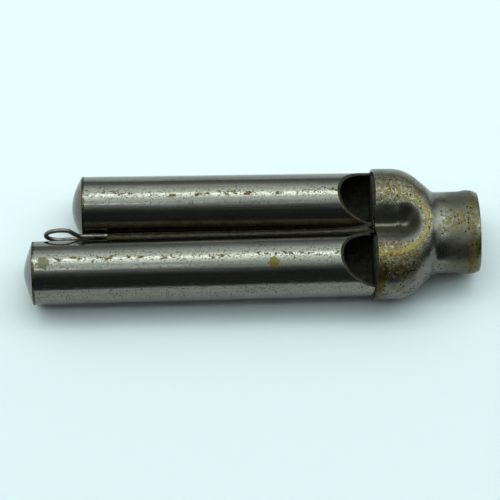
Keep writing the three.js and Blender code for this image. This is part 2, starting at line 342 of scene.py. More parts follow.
class Graph:
    """Adds shader nodes to one node tree and wires them together."""

    def __init__(self, tree: bpy.types.NodeTree) -> None:
        """Starts on a node tree, cleared of its default nodes."""
        self.tree = tree
        tree.nodes.clear()

    def node(self, kind: str, **settings: object) -> bpy.types.Node:
        """Adds a node.

        Args:
            kind: The node's type.
            **settings: Its properties.

        Returns:
            The new node.
        """
        made = self.tree.nodes.new(kind)
        for name, value in settings.items():
            setattr(made, name, value)
        return made

    def feed(self, socket: Socket, value: object) -> None:
        """Links a socket to another socket, or sets its value.

        Args:
            socket: The socket that is fed.
            value: A socket to link, or a number, vector or colour to set.
        """
        if isinstance(value, bpy.types.NodeSocket):
            self.tree.links.new(value, socket)
        else:
            socket.default_value = value

    def position(self) -> Socket:
        """The surface point in the row frame, in millimetres.

        Returns:
            The vector.
        """
        coordinates = self.node("ShaderNodeTexCoord")
        return self.stretched(coordinates.outputs["Object"], (1 / MM, 1 / MM, 1 / MM))

    def stretched(self, vector: Socket, factors: Colour) -> Socket:
        """A vector multiplied by one factor per axis.

        Args:
            vector: The vector.
            factors: The factors for X, Y and Z.

        Returns:
            The product.
        """
        scaled = self.node("ShaderNodeVectorMath", operation="MULTIPLY")
        self.feed(scaled.inputs[0], vector)
        scaled.inputs[1].default_value = factors
        return scaled.outputs[0]

    def along(self, axis: Axis, vector: Socket) -> Socket:
        """One component of a vector.

        Args:
            axis: Which component.
            vector: The vector.

        Returns:
            The component.
        """
        split = self.node("ShaderNodeSeparateXYZ")
        self.feed(split.inputs[0], vector)
        return split.outputs[axis.value]

    def mask(self, name: str) -> Socket:
        """The value of one of the mesh's named masks."""
        return self.node("ShaderNodeAttribute", attribute_name=name).outputs["Fac"]

    def noise_node(self, vector: Socket, grain: Grain) -> bpy.types.Node:
        """Adds a noise node.

        Args:
            vector: Where it is read, in millimetres.
            grain: The pattern.

        Returns:
            The node.
        """
        made = self.node("ShaderNodeTexNoise", noise_dimensions="3D")
        self.feed(made.inputs["Vector"], vector)
        made.inputs["Scale"].default_value = grain.per_mm
        made.inputs["Detail"].default_value = grain.detail
        made.inputs["Roughness"].default_value = grain.grit
        return made

    def noise(self, vector: Socket, grain: Grain) -> Socket:
        """Noise between 0 and 1, read at a place in millimetres."""
        return self.noise_node(vector, grain).outputs["Fac"]

    def cells(self, vector: Socket, per_mm: float) -> tuple[Socket, Socket]:
        """Round cells: the distance from each cell's centre and one random number per cell.

        Args:
            vector: Where they are read.
            per_mm: Cells per millimetre.

        Returns:
            The distance and the random number.
        """
        made = self.node("ShaderNodeTexVoronoi", voronoi_dimensions="3D", feature="F1")
        self.feed(made.inputs["Vector"], vector)
        made.inputs["Scale"].default_value = per_mm
        return made.outputs["Distance"], self.along(Axis.X, made.outputs["Color"])

    def shaken(self, vector: Socket, per_mm: float, reach: float) -> Socket:
        """A vector moved about by noise, so that what is read there loses its even shape.

        Args:
            vector: The vector in millimetres.
            per_mm: Features of the noise per millimetre.
            reach: About how far a point is moved, in millimetres.

        Returns:
            The moved vector.
        """
        moved = self.node("ShaderNodeVectorMath", operation="MULTIPLY_ADD")
        self.feed(moved.inputs[0], self.noise_node(vector, Grain(per_mm, 2.0)).outputs["Color"])
        moved.inputs[1].default_value = (2 * reach, 2 * reach, 2 * reach)
        self.feed(moved.inputs[2], vector)
        return moved.outputs[0]

    def math(self, operation: str, *values: object) -> Socket:
        """The result of one Math node.

        Args:
            operation: The node's operation.
            *values: Sockets or numbers, in the order of its inputs.

        Returns:
            The result.
        """
        made = self.node("ShaderNodeMath", operation=operation)
        for socket, value in zip(made.inputs, values):
            self.feed(socket, value)
        return made.outputs[0]

    def plus(self, first: object, second: object) -> Socket:
        """Two values added."""
        return self.math("ADD", first, second)

    def times(self, first: object, second: object) -> Socket:
        """Two values multiplied."""
        return self.math("MULTIPLY", first, second)

    def most(self, first: object, second: object) -> Socket:
        """The larger of two values."""
        return self.math("MAXIMUM", first, second)

    def line(self, value: object, factor: object, offset: object) -> Socket:
        """A value times a factor, plus an offset."""
        return self.math("MULTIPLY_ADD", value, factor, offset)

    def span(self, value: object, low: object, high: object, start: float = 0.0, end: float = 1.0) -> Socket:
        """A value's smooth way between two limits.

        Args:
            value: The value.
            low: The limit where start is given out.
            high: The limit where end is given out.
            start: What is given out at low.
            end: What is given out at high.

        Returns:
            The result, never past start or end.
        """
        made = self.node("ShaderNodeMapRange", interpolation_type="SMOOTHSTEP", clamp=True)
        for socket, given in zip(made.inputs, (value, low, high, start, end)):
            self.feed(socket, given)
        return made.outputs[0]

    def blend(self, factor: object, first: object, second: object) -> Socket:
        """Two colours mixed by a factor.

        Args:
            factor: 0 for the first colour and 1 for the second.
            first: A socket, a Metal or a colour.
            second: The same.

        Returns:
            The mixed colour.
        """
        made = self.node("ShaderNodeMix", data_type="RGBA", clamp_factor=True)
        self.feed(made.inputs[0], factor)
        for socket, given in zip((made.inputs[6], made.inputs[7]), (first, second)):
            colour = given.value if isinstance(given, Metal) else given
            self.feed(socket, (*colour, 1.0) if isinstance(colour, tuple) else colour)
        return made.outputs[2]

    def ramp(self, value: object, stops: Sequence[tuple[float, Colour]]) -> Socket:
        """A colour ramp read at a value.

        Args:
            value: Where it is read, 0 to 1.
            stops: Places and their colours.

        Returns:
            The colour.
        """
        made = self.node("ShaderNodeValToRGB")
        elements = made.color_ramp.elements
        while len(elements) < len(stops):
            elements.new(0.5)
        for element, (place, colour) in zip(elements, stops):
            element.position = place
            element.color = (*colour, 1.0)
        self.feed(made.inputs[0], value)
        return made.outputs["Color"]

    def bump(self, height: object, distance: float, below: Optional[Socket] = None) -> Socket:
        """A bump normal.

        Args:
            height: The height value.
            distance: What a height of 1 measures, in metres.
            below: A bump that this one adds to.

        Returns:
            The normal.
        """
        made = self.node("ShaderNodeBump")
        made.inputs["Distance"].default_value = distance
        self.feed(made.inputs["Height"], height)
        if below is not None:
            self.feed(made.inputs["Normal"], below)
        return made.outputs[0]

    def uneven(self, place: Socket, *layers: Relief) -> Optional[Socket]:
        """Bumps laid one over another.

        Args:
            place: The surface point in millimetres.
            *layers: The bumps, from the lowest up.

        Returns:
            The normal of the last one.
        """
        normal = None
        for layer in layers:
            height = self.noise(self.stretched(place, layer.stretch), layer.grain)
            normal = self.bump(height, layer.height, normal)
        return normal


def new_material(name: str) -> tuple[bpy.types.Material, Graph, bpy.types.Node]:
    """Makes a material with one Principled shader wired to its output.

    Args:
        name: The material's name.

    Returns:
        The material, its graph and its Principled node.
    """
    material = bpy.data.materials.new(name)
    material.use_nodes = True
    graph = Graph(material.node_tree)
    shader = graph.node("ShaderNodeBsdfPrincipled")
    output = graph.node("ShaderNodeOutputMaterial")
    graph.feed(output.inputs["Surface"], shader.outputs[0])
    return material, graph, shader


# Finishes


class Metal(Enum):
    """Base colours of the metals and of what covers them, and the painted shade of the hollows and of the
    sides between the tubes.
    """

    BRIGHT_NICKEL = (0.275, 0.252, 0.214)
    NICKEL = (0.245, 0.225, 0.192)
    DULL_NICKEL = (0.175, 0.160, 0.130)
    GREY_FILM = (0.112, 0.100, 0.080)
    OLIVE_FILM = (0.112, 0.099, 0.068)
    BRASS = (0.125, 0.094, 0.028)
    PALE_BRASS = (0.195, 0.158, 0.058)
    OLIVE = (0.098, 0.090, 0.052)
    COPPER = (0.110, 0.058, 0.022)
    # painted shade: brown on the sides between the tubes and in the bores
    GRIME = (0.050, 0.036, 0.016)
    TARNISH = (0.030, 0.020, 0.008)
    # painted shade: near black in the bores and the hollows
    SOOT = (0.004, 0.004, 0.0035)
    SOLDER = (0.048, 0.045, 0.037)


@dataclass(frozen=True)
class Specks:
    """Round specks of one size, which only some cells of a cell pattern hold."""

    per_mm: float
    share: float
    masked_share: float
    core: float
    rim: float
    strength: float = 1.0

    def draw(self, graph: Graph, place: Socket, mask: Socket, crowding: object = 1.0) -> Socket:
        """Draws the specks.

        Args:
            graph: The material's graph.
            place: The surface point in millimetres.
            mask: Where more of the cells hold a speck.
            crowding: What the share of cells that hold one is multiplied by.

        Returns:
            The strength on a speck, and 0 beside it.
        """
        gap, pick = graph.cells(place, self.per_mm)
        share = graph.times(graph.line(mask, self.masked_share, self.share), crowding)
        held = graph.math("LESS_THAN", pick, share)
        return graph.times(held, graph.span(gap, self.core, self.rim, self.strength, 0.0))


@dataclass(frozen=True)
class TubePlate:
    """Nickel plate on the tubes and caps: drawn streaks, pits, brass specks and worn edges, with painted
    shade between the tubes and on the caps and a painted highlight on the crown.
    """

    name: str
    roughness: float = 0.15
    roughness_swing: float = 0.18
    bare_roughness: float = 0.20
    speck_roughness: float = 0.10
    drawing: Colour = (0.25, 1.0, 1.0)
    streaking: Colour = (0.05, 1.6, 1.6)
    blotch_stretch: Colour = (0.7, 1.0, 1.0)
    cloud: Grain = Grain(0.35, 3.0)
    streak: Grain = Grain(1.0, 3.0)
    crowding: Grain = Grain(0.5, 2.0)
    blotch: Grain = Grain(1.2, 8.0, 0.62)
    film: Grain = Grain(3.6, 5.0)
    staining: Grain = Grain(2.4, 4.0)
    haze: Grain = Grain(2.5, 4.0)
    pits: Specks = Specks(1.8, 0.05, 0.42, 0.20, 0.34)
    flecks: Specks = Specks(2.9, 0.12, 0.58, 0.24, 0.40)
    dots: Specks = Specks(4.6, 0.10, 0.20, 0.20, 0.42, 0.8)
    shake_per_mm: float = 3.0
    shake: float = 0.14
    speck_depth: float = 0.008 * MM
    speck_cover: float = 0.88
    blotch_limit: float = 0.740
    crown_blotching: float = 0.190
    blotch_edge: float = 0.02
    patch_places: tuple[Colour, ...] = ()
    patch_radius: float = 1.25
    patch_edge: Grain = Grain(1.4, 6.0, 0.6)
    patch_raggedness: float = 2.2
    patch_gold: Grain = Grain(2.2, 4.0)
    gold_start: float = -30.0  # along the row, in millimetres: patches turn from olive to brass
    gold_end: float = -10.0
    reliefs: tuple[Relief, ...] = (
        Relief(Grain(0.22, 1.0), 0.05 * MM),
        Relief(Grain(1.0, 2.0), 0.016 * MM, (0.03, 2.0, 2.0)),
        Relief(Grain(2.6, 3.0), 0.0065 * MM),
        Relief(Grain(7.0, 3.0), 0.003 * MM, (0.25, 1.0, 1.0)),
    )

    def patches(self, graph: Graph, place: Socket) -> object:
        """Ragged round spots where the plate has gone.

        Args:
            graph: The material's graph.
            place: The surface point in millimetres.

        Returns:
            1 inside a spot and 0 outside.
        """
        swing = self.patch_raggedness
        ragged = graph.line(graph.noise(place, self.patch_edge), swing, -swing / 2)
        total: object = 0.0
        for centre in self.patch_places:
            gap = graph.node("ShaderNodeVectorMath", operation="DISTANCE")
            graph.feed(gap.inputs[0], place)
            gap.inputs[1].default_value = centre
            reach = graph.plus(gap.outputs["Value"], ragged)
            spot = graph.span(reach, self.patch_radius * 0.85, self.patch_radius, 1.0, 0.0)
            total = graph.most(total, spot)
        return total

    def specks(self, graph: Graph, place: Socket) -> Socket:
        """Small dark pits, flecks and dots, which gather in places.

        Args:
            graph: The material's graph.
            place: The surface point in millimetres.

        Returns:
            1 on a speck and 0 beside it.
        """
        pitted = graph.mask("pitted")
        crowding = graph.span(graph.noise(place, self.crowding), 0.40, 0.62, 0.35, 1.5)
        shaken = graph.shaken(place, self.shake_per_mm, self.shake)
        pits = self.pits.draw(graph, shaken, pitted, crowding)
        flecks = self.flecks.draw(graph, shaken, pitted, crowding)
        return graph.most(graph.most(pits, flecks), self.dots.draw(graph, shaken, pitted))

    def bare_places(self, graph: Graph, place: Socket, cloud: Socket) -> Socket:
        """Bare brass at worn edges and in blotches, most of them along the crown.

        Args:
            graph: The material's graph.
            place: The surface point in millimetres.
            cloud: Slow noise that breaks the edges up.

        Returns:
            1 where brass shows and 0 on plate.
        """
        edge = graph.span(graph.plus(graph.mask("edge"), graph.line(cloud, 0.8, -0.4)), 0.45, 0.65)
        blotch = graph.noise(graph.stretched(place, self.blotch_stretch), self.blotch)
        limit = graph.line(graph.mask("crown"), -self.crown_blotching, self.blotch_limit)
        return graph.most(edge, graph.span(blotch, limit, graph.plus(limit, self.blotch_edge)))

    def plate_colour(self, graph: Graph, place: Socket, cloud: Socket) -> Socket:
        """The plate's colour: streaks, clouds and a thin grey film, with a painted highlight on the crown
        and, on the caps, the grey film all over as painted shade.

        Args:
            graph: The material's graph.
            place: The surface point in millimetres.
            cloud: Slow noise.

        Returns:
            The colour.
        """
        streaks = graph.noise(graph.stretched(place, self.streaking), self.streak)
        plate = graph.blend(graph.span(streaks, 0.3, 0.75), Metal.NICKEL, Metal.DULL_NICKEL)
        plate = graph.blend(graph.span(cloud, 0.35, 0.75, 0.0, 0.45), plate, Metal.DULL_NICKEL)
        # painted highlight: the crown, where the tube faces up, is lighter
        plate = graph.blend(graph.times(graph.mask("crown"), 0.7), plate, Metal.BRIGHT_NICKEL)
        thin_film = graph.span(graph.noise(place, self.film), 0.48, 0.66, 0.0, 0.35)
        # painted shade: the grey film over the whole of each cap
        cap_shade_film = graph.times(graph.mask("dull"), graph.span(cloud, 0.2, 0.8, 1.0, 0.8))
        return graph.blend(graph.most(thin_film, cap_shade_film), plate, Metal.GREY_FILM)

    def patch_colour(self, graph: Graph, place: Socket) -> Socket:
        """The colour inside the round spots, olive near the closed end and brass near the middle.

        Args:
            graph: The material's graph.
            place: The surface point in millimetres.

        Returns:
            The colour.
        """
        along = graph.span(graph.along(Axis.X, place), self.gold_start, self.gold_end)
        golden = graph.times(along, graph.span(graph.noise(place, self.patch_gold), 0.70, 0.50))
        return graph.blend(golden, Metal.OLIVE, Metal.BRASS)

    def build(self) -> bpy.types.Material:
        """Makes the material.

        Returns:
            The material.
        """
        material, graph, shader = new_material(self.name)
        place = graph.position()
        cloud = graph.noise(place, self.cloud)
        grime = graph.mask("grime")
        bare = self.bare_places(graph, place, cloud)
        spots = self.patches(graph, place)
        specks = graph.times(self.specks(graph, place), graph.line(spots, -0.8, 1.0))

        stained = graph.span(graph.noise(place, self.staining), 0.42, 0.60)
        brass = graph.blend(stained, Metal.BRASS, Metal.TARNISH)
        colour = graph.blend(bare, self.plate_colour(graph, place, cloud), brass)
        colour = graph.blend(spots, colour, self.patch_colour(graph, place))
        # painted shade: darker on the sides that face the other tube
        inner_shaded = graph.times(grime, graph.span(cloud, 0.25, 0.65, 0.95, 0.6))
        colour = graph.blend(inner_shaded, colour, Metal.GRIME)
        colour = graph.blend(graph.times(specks, self.speck_cover), colour, Metal.TARNISH)
        graph.feed(shader.inputs["Base Color"], colour)
        shader.inputs["Metallic"].default_value = 1.0

        drawn = graph.noise(graph.stretched(place, self.drawing), self.haze)
        haze = graph.line(drawn, self.roughness_swing, self.roughness - self.roughness_swing / 2)
        haze = graph.line(graph.most(bare, spots), self.bare_roughness, haze)
        haze = graph.line(grime, 0.10, haze)
        graph.feed(shader.inputs["Roughness"], graph.line(specks, self.speck_roughness, haze))
        sunk = graph.line(graph.most(specks, bare), -1.0, 1.0)
        normal = graph.bump(sunk, self.speck_depth, graph.uneven(place, *self.reliefs))
        graph.feed(shader.inputs["Normal"], normal)
        return material


@dataclass(frozen=True)
class HeadPlate:
    """Plate on the pressed head, rubbed through to brass on every raised part."""

    name: str
    roughness: float = 0.25
    roughness_swing: float = 0.26
    rubbed_roughness: float = 0.12
    hazy_roughness: float = 0.17
    pit_roughness: float = 0.10
    cloud: Grain = Grain(0.45, 3.0)
    mottle: Grain = Grain(1.5, 8.0, 0.72)
    mottle_swing: float = 2.9
    fine: Grain = Grain(6.0, 5.0)
    fine_swing: float = 0.5
    speck: Grain = Grain(4.4, 3.0)
    pits: Specks = Specks(1.5, 0.05, 0.55, 0.24, 0.40)
    pit_depth: float = 0.015 * MM
    plate_step: float = 0.012 * MM
    pit_cover: float = 0.85
    haze_cover: float = 0.85
    brass_limits: tuple[float, float] = (0.46, 0.55)
    reliefs: tuple[Relief, ...] = (
        Relief(Grain(0.5, 2.0), 0.08 * MM),
        Relief(Grain(3.4, 4.0), 0.024 * MM),
    )

    def plate_colour(self, graph: Graph, cloud: Socket, fine: Socket, rub: Socket) -> Socket:
        """The plate that is left: bright among the rubbed places, with a film elsewhere.

        Args:
            graph: The material's graph.
            cloud: Slow noise.
            fine: Fine noise.
            rub: How rubbed a place is.

        Returns:
            The colour.
        """
        plate = graph.blend(graph.span(cloud, 0.35, 0.7), Metal.DULL_NICKEL, Metal.GREY_FILM)
        clean = graph.times(graph.span(rub, 0.15, 0.5, 0.0, 0.7), graph.span(fine, 0.35, 0.60))
        plate = graph.blend(clean, plate, Metal.BRIGHT_NICKEL)
        return graph.blend(graph.times(graph.mask("hazy"), self.haze_cover), plate, Metal.OLIVE_FILM)

    def brass_colour(self, graph: Graph, mottle: Socket, fine: Socket, rub: Socket) -> Socket:
        """The brass: polished where it is most rubbed, and stained red in places.

        Args:
            graph: The material's graph.
            mottle: Ragged noise.
            fine: Fine noise.
            rub: How rubbed a place is.

        Returns:
            The colour.
        """
        polished = graph.times(graph.span(fine, 0.36, 0.60), graph.span(rub, 0.50, 0.92, 0.15, 1.0))
        brass = graph.blend(polished, Metal.BRASS, Metal.PALE_BRASS)
        stain = graph.times(graph.mask("stain"), graph.span(mottle, 0.45, 0.55))
        return graph.blend(stain, brass, Metal.COPPER)

    def build(self) -> bpy.types.Material:
        """Makes the material.

        Returns:
            The material.
        """
        material, graph, shader = new_material(self.name)
        place = graph.position()
        cloud = graph.noise(place, self.cloud)
        mottle = graph.noise(place, self.mottle)
        fine = graph.noise(place, self.fine)
        rub = graph.mask("rub")
        pits = self.pits.draw(graph, graph.shaken(place, 2.2, 0.2), graph.mask("pitted"))

        # brass shows where the mask and the noise together pass one half
        patchy = graph.line(mottle, self.mottle_swing, -self.mottle_swing / 2)
        ragged = graph.line(fine, self.fine_swing, -self.fine_swing / 2)
        brass_share = graph.span(graph.plus(rub, graph.plus(patchy, ragged)), *self.brass_limits)
        speck = graph.span(graph.noise(graph.shaken(place, 3.0, 0.2), self.speck), 0.38, 0.43, 0.9, 0.0)
        on_brass = graph.times(speck, graph.span(rub, 0.95, 0.60))
        on_plate = graph.times(speck, graph.span(rub, 0.15, 0.45, 0.0, 0.7))
        brass = graph.blend(on_brass, self.brass_colour(graph, mottle, fine, rub), Metal.TARNISH)
        plate = graph.blend(on_plate, self.plate_colour(graph, cloud, fine, rub), Metal.TARNISH)
        colour = graph.blend(brass_share, plate, brass)
        dim = graph.times(graph.mask("dim"), graph.span(cloud, 0.3, 0.6, 0.6, 1.0))
        colour = graph.blend(dim, colour, Metal.TARNISH)
        colour = graph.blend(graph.times(pits, self.pit_cover), colour, Metal.TARNISH)
        graph.feed(shader.inputs["Base Color"], colour)
        shader.inputs["Metallic"].default_value = 1.0

        haze = graph.line(fine, self.roughness_swing, self.roughness - self.roughness_swing / 2)
        haze = graph.line(graph.times(rub, brass_share), self.rubbed_roughness, haze)
        haze = graph.line(graph.mask("hazy"), self.hazy_roughness, haze)
        graph.feed(shader.inputs["Roughness"], graph.line(pits, self.pit_roughness, haze))
        left = graph.times(graph.math("SUBTRACT", 1.0, brass_share), graph.span(rub, 0.1, 0.4))
        step = graph.bump(left, self.plate_step, graph.uneven(place, *self.reliefs))
        graph.feed(shader.inputs["Normal"], graph.bump(graph.line(pits, -1.0, 1.0), self.pit_depth, step))
        return material


@dataclass(frozen=True)
class DullMetal:
    """A plain cloudy metal with lumps, for the wire and the solder, and as painted shade for the plugs and
    the bores.
    """

    name: str
    light: Metal
    dark: Metal
    roughness: float
    lumps: float
    metallic: float = 1.0
    cloud: Grain = Grain(0.8, 4.0)
    fine: Grain = Grain(4.5, 4.0)
    roughness_swing: float = 0.3

    def build(self) -> bpy.types.Material:
        """Makes the material.

        Returns:
            The material.
        """
        material, graph, shader = new_material(self.name)
        place = graph.position()
        fine = graph.noise(place, self.fine)
        mixed = graph.line(fine, 0.5, graph.times(graph.noise(place, self.cloud), 0.5))
        colour = graph.blend(graph.span(mixed, 0.38, 0.62), self.light, self.dark)
        graph.feed(shader.inputs["Base Color"], colour)
        shader.inputs["Metallic"].default_value = self.metallic
        haze = graph.line(fine, self.roughness_swing, self.roughness - self.roughness_swing / 2)
        graph.feed(shader.inputs["Roughness"], haze)
        graph.feed(shader.inputs["Normal"], graph.bump(mixed, self.lumps))
        return material


@dataclass(frozen=True)
class PaleTable:
    """The pale, faintly blue board that the whistle lies on."""

    name: str = "pale_board"
    tint: Colour = (0.775, 0.79, 0.785)
    darkening: float = 0.90
    cloud: Grain = Grain(0.02, 3.0)
    near_side: float = -45.0  # across the row, in millimetres: painted shade makes the board darker on this side
    far_side: float = 35.0
    roughness: float = 0.75

    def build(self) -> bpy.types.Material:
        """Makes the material.

        Returns:
            The material.
        """
        material, graph, shader = new_material(self.name)
        place = graph.position()
        # painted shade: the board darker towards the near side
        near = graph.span(graph.along(Axis.Y, place), self.near_side, self.far_side, 1.0, 0.0)
        shade = graph.line(graph.noise(place, self.cloud), 0.25, near)
        darker = tuple(self.darkening * channel for channel in self.tint)
        graph.feed(shader.inputs["Base Color"], graph.blend(shade, self.tint, darker))
        shader.inputs["Roughness"].default_value = self.roughness
        return material


@dataclass(frozen=True)
class Finishes:
    """Every material of the whistle, made once."""

    long_plate: bpy.types.Material
    short_plate: bpy.types.Material
    head_plate: bpy.types.Material
    soot: bpy.types.Material
    solder: bpy.types.Material
    wire: bpy.types.Material

    @classmethod
    def make(cls, datum: Datum) -> "Finishes":
        """Builds each finish.

        Args:
            datum: Places the worn spots on the long tube.

        Returns:
            The materials.
        """
        # each worn spot: its place along the whistle, and how far it lies outward and down of the crown
        worn_spots = ((-66.3 * MM, 1.1 * MM, 0.2 * MM), (-20.6 * MM, 1.8 * MM, 0.4 * MM))
        crown_y, crown_z = -datum.axis_offset, datum.tube_radius
        spots = np.array([(x, crown_y - out, crown_z - down) for x, out, down in worn_spots])
        places = tuple(tuple(float(value) for value in row) for row in datum.to_row(spots) / MM)
        return cls(
            long_plate=TubePlate("long_tube_plate", patch_places=places).build(),
            short_plate=TubePlate("short_tube_plate").build(),
            head_plate=HeadPlate("head_plate").build(),
            # painted shade: the dark finish of the bores, the plugs, the window's cut faces and the head's
            # inside
            soot=DullMetal("painted_hollow_shade", Metal.GRIME, Metal.SOOT, 0.75, 0.04 * MM, metallic=0.3).build(),
            solder=DullMetal("soft_solder", Metal.SOLDER, Metal.TARNISH, 0.42, 0.16 * MM).build(),
            wire=DullMetal("loop_wire", Metal.BRIGHT_NICKEL, Metal.GREY_FILM, 0.42, 0.01 * MM).build(),
        )


# Sub-assemblies


@dataclass
class Barrel:
    """One closed tube with its window, its end cap and the plug behind the window."""

    datum: Datum
    tube: Tube
    reach: float
    turn: float
    cap_height: float
    cap_point: float
    window_length: float = 7.2 * MM
    window_arc: float = 21.5 * MM
    window_arc_x: float = 6.9 * MM
    edge_round: float = 0.045 * MM
    rows_behind_window: tuple[float, ...] = (0.22 * MM, 0.45 * MM, 0.9 * MM, 1.8 * MM, 3.4 * MM, 6.0 * MM)
    rows_at_foot: tuple[float, float] = (0.7 * MM, 0.35 * MM)
    rows_between: int = 16
    columns: int = 200
    cap_wall: float = 0.5 * MM
    cap_gap: float = 0.25 * MM
    cap_round: float = 0.08 * MM
    cap_columns: int = 144
    seam_gap: float = 0.03 * MM
    skirt_play: float = 0.1 * MM
    skirt_length: float = 2.2 * MM
    point_blunting: float = 0.28
    plug_proud: float = 0.1 * MM
    plug_flat: float = 5.1 * MM
    plug_play: float = 0.05 * MM
    plug_round: float = 0.15 * MM
    window_wear: float = 0.60
    near_side_wear: float = 0.30
    closed_end_wear: float = 0.62
    cap_seam_wear: float = 0.52
    cap_pitting: float = 0.5
    crown_spread: float = math.radians(11.0)
    low_side: float = math.radians(-80.0)
    low_side_spread: float = math.radians(18.0)
    # painted shade on the sides that face the other tube: angles from the crown where it rises and where it
    # falls off
    inner_shade_start: tuple[float, float] = (math.radians(38.0), math.radians(62.0))
    inner_shade_end: tuple[float, float] = (math.radians(125.0), math.radians(150.0))

    @property
    def prefix(self) -> str:
        """The start of the names of this tube's pieces and nodes."""
        return self.tube.name.lower()

    @property
    def side(self) -> int:
        """-1 for the long tube and 1 for the short one."""
        return self.tube.value

    def to_whistle(self, points: Array) -> Array:
        """Moves points from the barrel's own axis to whistle coordinates."""
        splayed = turned(turned(points, self.turn, Axis.X), -self.side * self.datum.splay, Axis.Z)
        return splayed + np.array([0.0, self.side * self.datum.axis_offset, 0.0])

    def around(self, x: Array | float, radius: float, angle: Array) -> Array:
        """Points about the barrel's axis, in whistle coordinates.

        Args:
            x: Axial places.
            radius: Distance from the axis.
            angle: Angles from the window's middle, in radians.

        Returns:
            The points.
        """
        x, radius, angle = np.broadcast_arrays(x, radius, angle)
        return self.to_whistle(np.stack([x, radius * np.sin(angle), radius * np.cos(angle)], axis=-1))

    def arc_centre_height(self) -> float:
        """Height of the cutting arc's centre above the axis."""
        run = self.window_length + self.window_arc_x
        return self.datum.tube_radius + math.sqrt(self.window_arc**2 - run**2)

    def cut_x(self, height: Array) -> Array:
        """Axial place of the window cut at a height above the axis."""
        drop = self.arc_centre_height() - height
        return self.window_arc_x - np.sqrt(np.maximum(self.window_arc**2 - drop**2, 0.0))

    def cut_floor(self) -> float:
        """Height of the cut at the collar's edge."""
        return self.arc_centre_height() - math.sqrt(self.window_arc**2 - self.window_arc_x**2)

    def half_angles(self, radius: float) -> Array:
        """Column angles from the window's middle to the underside, at one radius.

        The same columns follow the window's two edges on the outer and the inner skin.

        Args:
            radius: Distance from the axis.

        Returns:
            The angles, in radians.
        """
        corner = math.acos(self.cut_floor() / radius)
        inside = np.sin(np.linspace(0.0, math.pi / 2, self.columns // 4)) * corner
        outside = np.linspace(corner + 0.002, math.pi, self.columns // 4)
        return np.concatenate([inside, outside])

    def ring(self, radius: float) -> tuple[Array, Array]:
        """The head-side end of the tube wall at one radius.

        Args:
            radius: Distance from the axis.

        Returns:
            The axial place and the angle of every column, all the way round.
        """
        half = self.half_angles(radius)
        in_window = np.arange(len(half)) < self.columns // 4
        ends = np.where(in_window, self.cut_x(radius * np.cos(half)), self.datum.socket_depth)
        return np.concatenate([ends, ends[-2:0:-1]]), np.concatenate([half, -half[-2:0:-1]])

    def skin(self, radius: float) -> Array:
        """One cylindrical skin of the tube, from its window end to its closed end.

        Args:
            radius: Distance from the axis.

        Returns:
            The grid of points.
        """
        ends, angles = self.ring(radius)
        rows = [ends - distance for distance in (self.edge_round, *self.rows_behind_window)]
        last_bent = rows[-1]
        first_straight, next_straight = self.rows_at_foot
        shares = np.linspace(0.0, 1.0, self.rows_between)[1:]
        rows += [lerp(last_bent, first_straight - self.reach, share) for share in shares]
        rows += [np.full_like(ends, behind - self.reach) for behind in (next_straight, self.edge_round)]
        return np.stack([self.around(row, radius, angles) for row in rows])

    def rounded_end(self, at_window: bool) -> Array:
        """Four rings that round the wall's end, at the window from the bore out, else back in.

        Args:
            at_window: Whether it is the window end.

        Returns:
            The grid of points.
        """
        outer, inner, soft = self.datum.tube_radius, self.datum.bore, self.edge_round
        corner = 0.3 * soft
        rings = [(inner + corner, corner), (inner + soft, 0.0), (outer - soft, 0.0), (outer - corner, corner)]
        rows = []
        for radius, back in rings if at_window else reversed(rings):
            ends, angles = self.ring(radius)
            rows.append(self.around(ends - back if at_window else back - self.reach, radius, angles))
        return np.stack(rows)

    def wear(self, angles: Array, rows: int, closed_row: int) -> dict[str, Array]:
        """Where the plate is worn and pitted, and where painted shade darkens the sides that face the other
        tube.

        Args:
            angles: Each column's angle from the window's middle.
            rows: How many rings the wall has.
            closed_row: The row that the rounded closed end starts with.

        Returns:
            The named masks, 0 to 1.
        """
        near_side = smooth(-0.1, -0.6, angles)
        edge = np.zeros((rows, len(angles)))
        edge[2:4] = self.window_wear + self.near_side_wear * near_side
        edge[4] = 0.40 * near_side
        edge[closed_row - 2 : closed_row + 2] = self.closed_end_wear
        up = (angles - self.turn + math.pi) % (2 * math.pi) - math.pi
        crown = hump(up, 0.0, self.crown_spread)
        low_side = hump(up, self.low_side, self.low_side_spread)
        inward = -self.side * up
        # painted shade on the sides that face the other tube
        grime = band(inward, self.inner_shade_start, self.inner_shade_end)
        columns = {"crown": crown, "pitted": np.maximum(crown, 0.9 * low_side), "grime": grime}
        return {"edge": edge, **{name: np.broadcast_to(mask, edge.shape) for name, mask in columns.items()}}

    def build_tube(self) -> bpy.types.Object:
        """Makes the tube's wall with rounded edges at the window and at the closed end.

        Returns:
            The piece.
        """
        lip, foot = self.rounded_end(True), self.rounded_end(False)
        outside, inside = self.skin(self.datum.tube_radius), self.skin(self.datum.bore)
        grid = np.concatenate([lip, outside, foot, inside[::-1]])
        _, angles = self.ring(self.datum.tube_radius)
        closed_row = len(lip) + len(outside)
        draft = Draft()
        draft.sheet(grid, True, **self.wear(angles, len(grid), closed_row))
        # painted shade: the bore, and the window's edge apart from its near side, take the dark hollow finish
        in_hollow_shade = np.zeros(grid.shape[:2], int)
        in_hollow_shade[:2] = 1
        in_hollow_shade[2] = smooth(-0.1, -0.6, angles) < 0.3
        in_hollow_shade[closed_row + len(foot) - 1 :] = 1
        draft.finishes = in_hollow_shade.ravel().tolist()
        return draft.build(f"{self.prefix}_tube_wall", self.datum)

    def dome(self, seat: float, height: float) -> list[tuple[float, float]]:
        """The dome's outline, between a plain round one and a blunt cone.

        Args:
            seat: Axial place of its foot.
            height: How far its tip stands out.

        Returns:
            Axial places and distances from the axis, from near the tip to the edge.
        """
        shares = np.linspace(0.06, 1.0, 18)
        blunting = self.point_blunting
        cone = (1.04 - np.hypot(shares, blunting)) / (1.04 - blunting)
        rises = lerp(1.0 - shares**2, cone, self.cap_point)
        soft = self.cap_round
        edge_radius = self.datum.tube_radius - soft
        places = seat - soft - (height - soft) * rises
        return list(zip(places, edge_radius * shares))

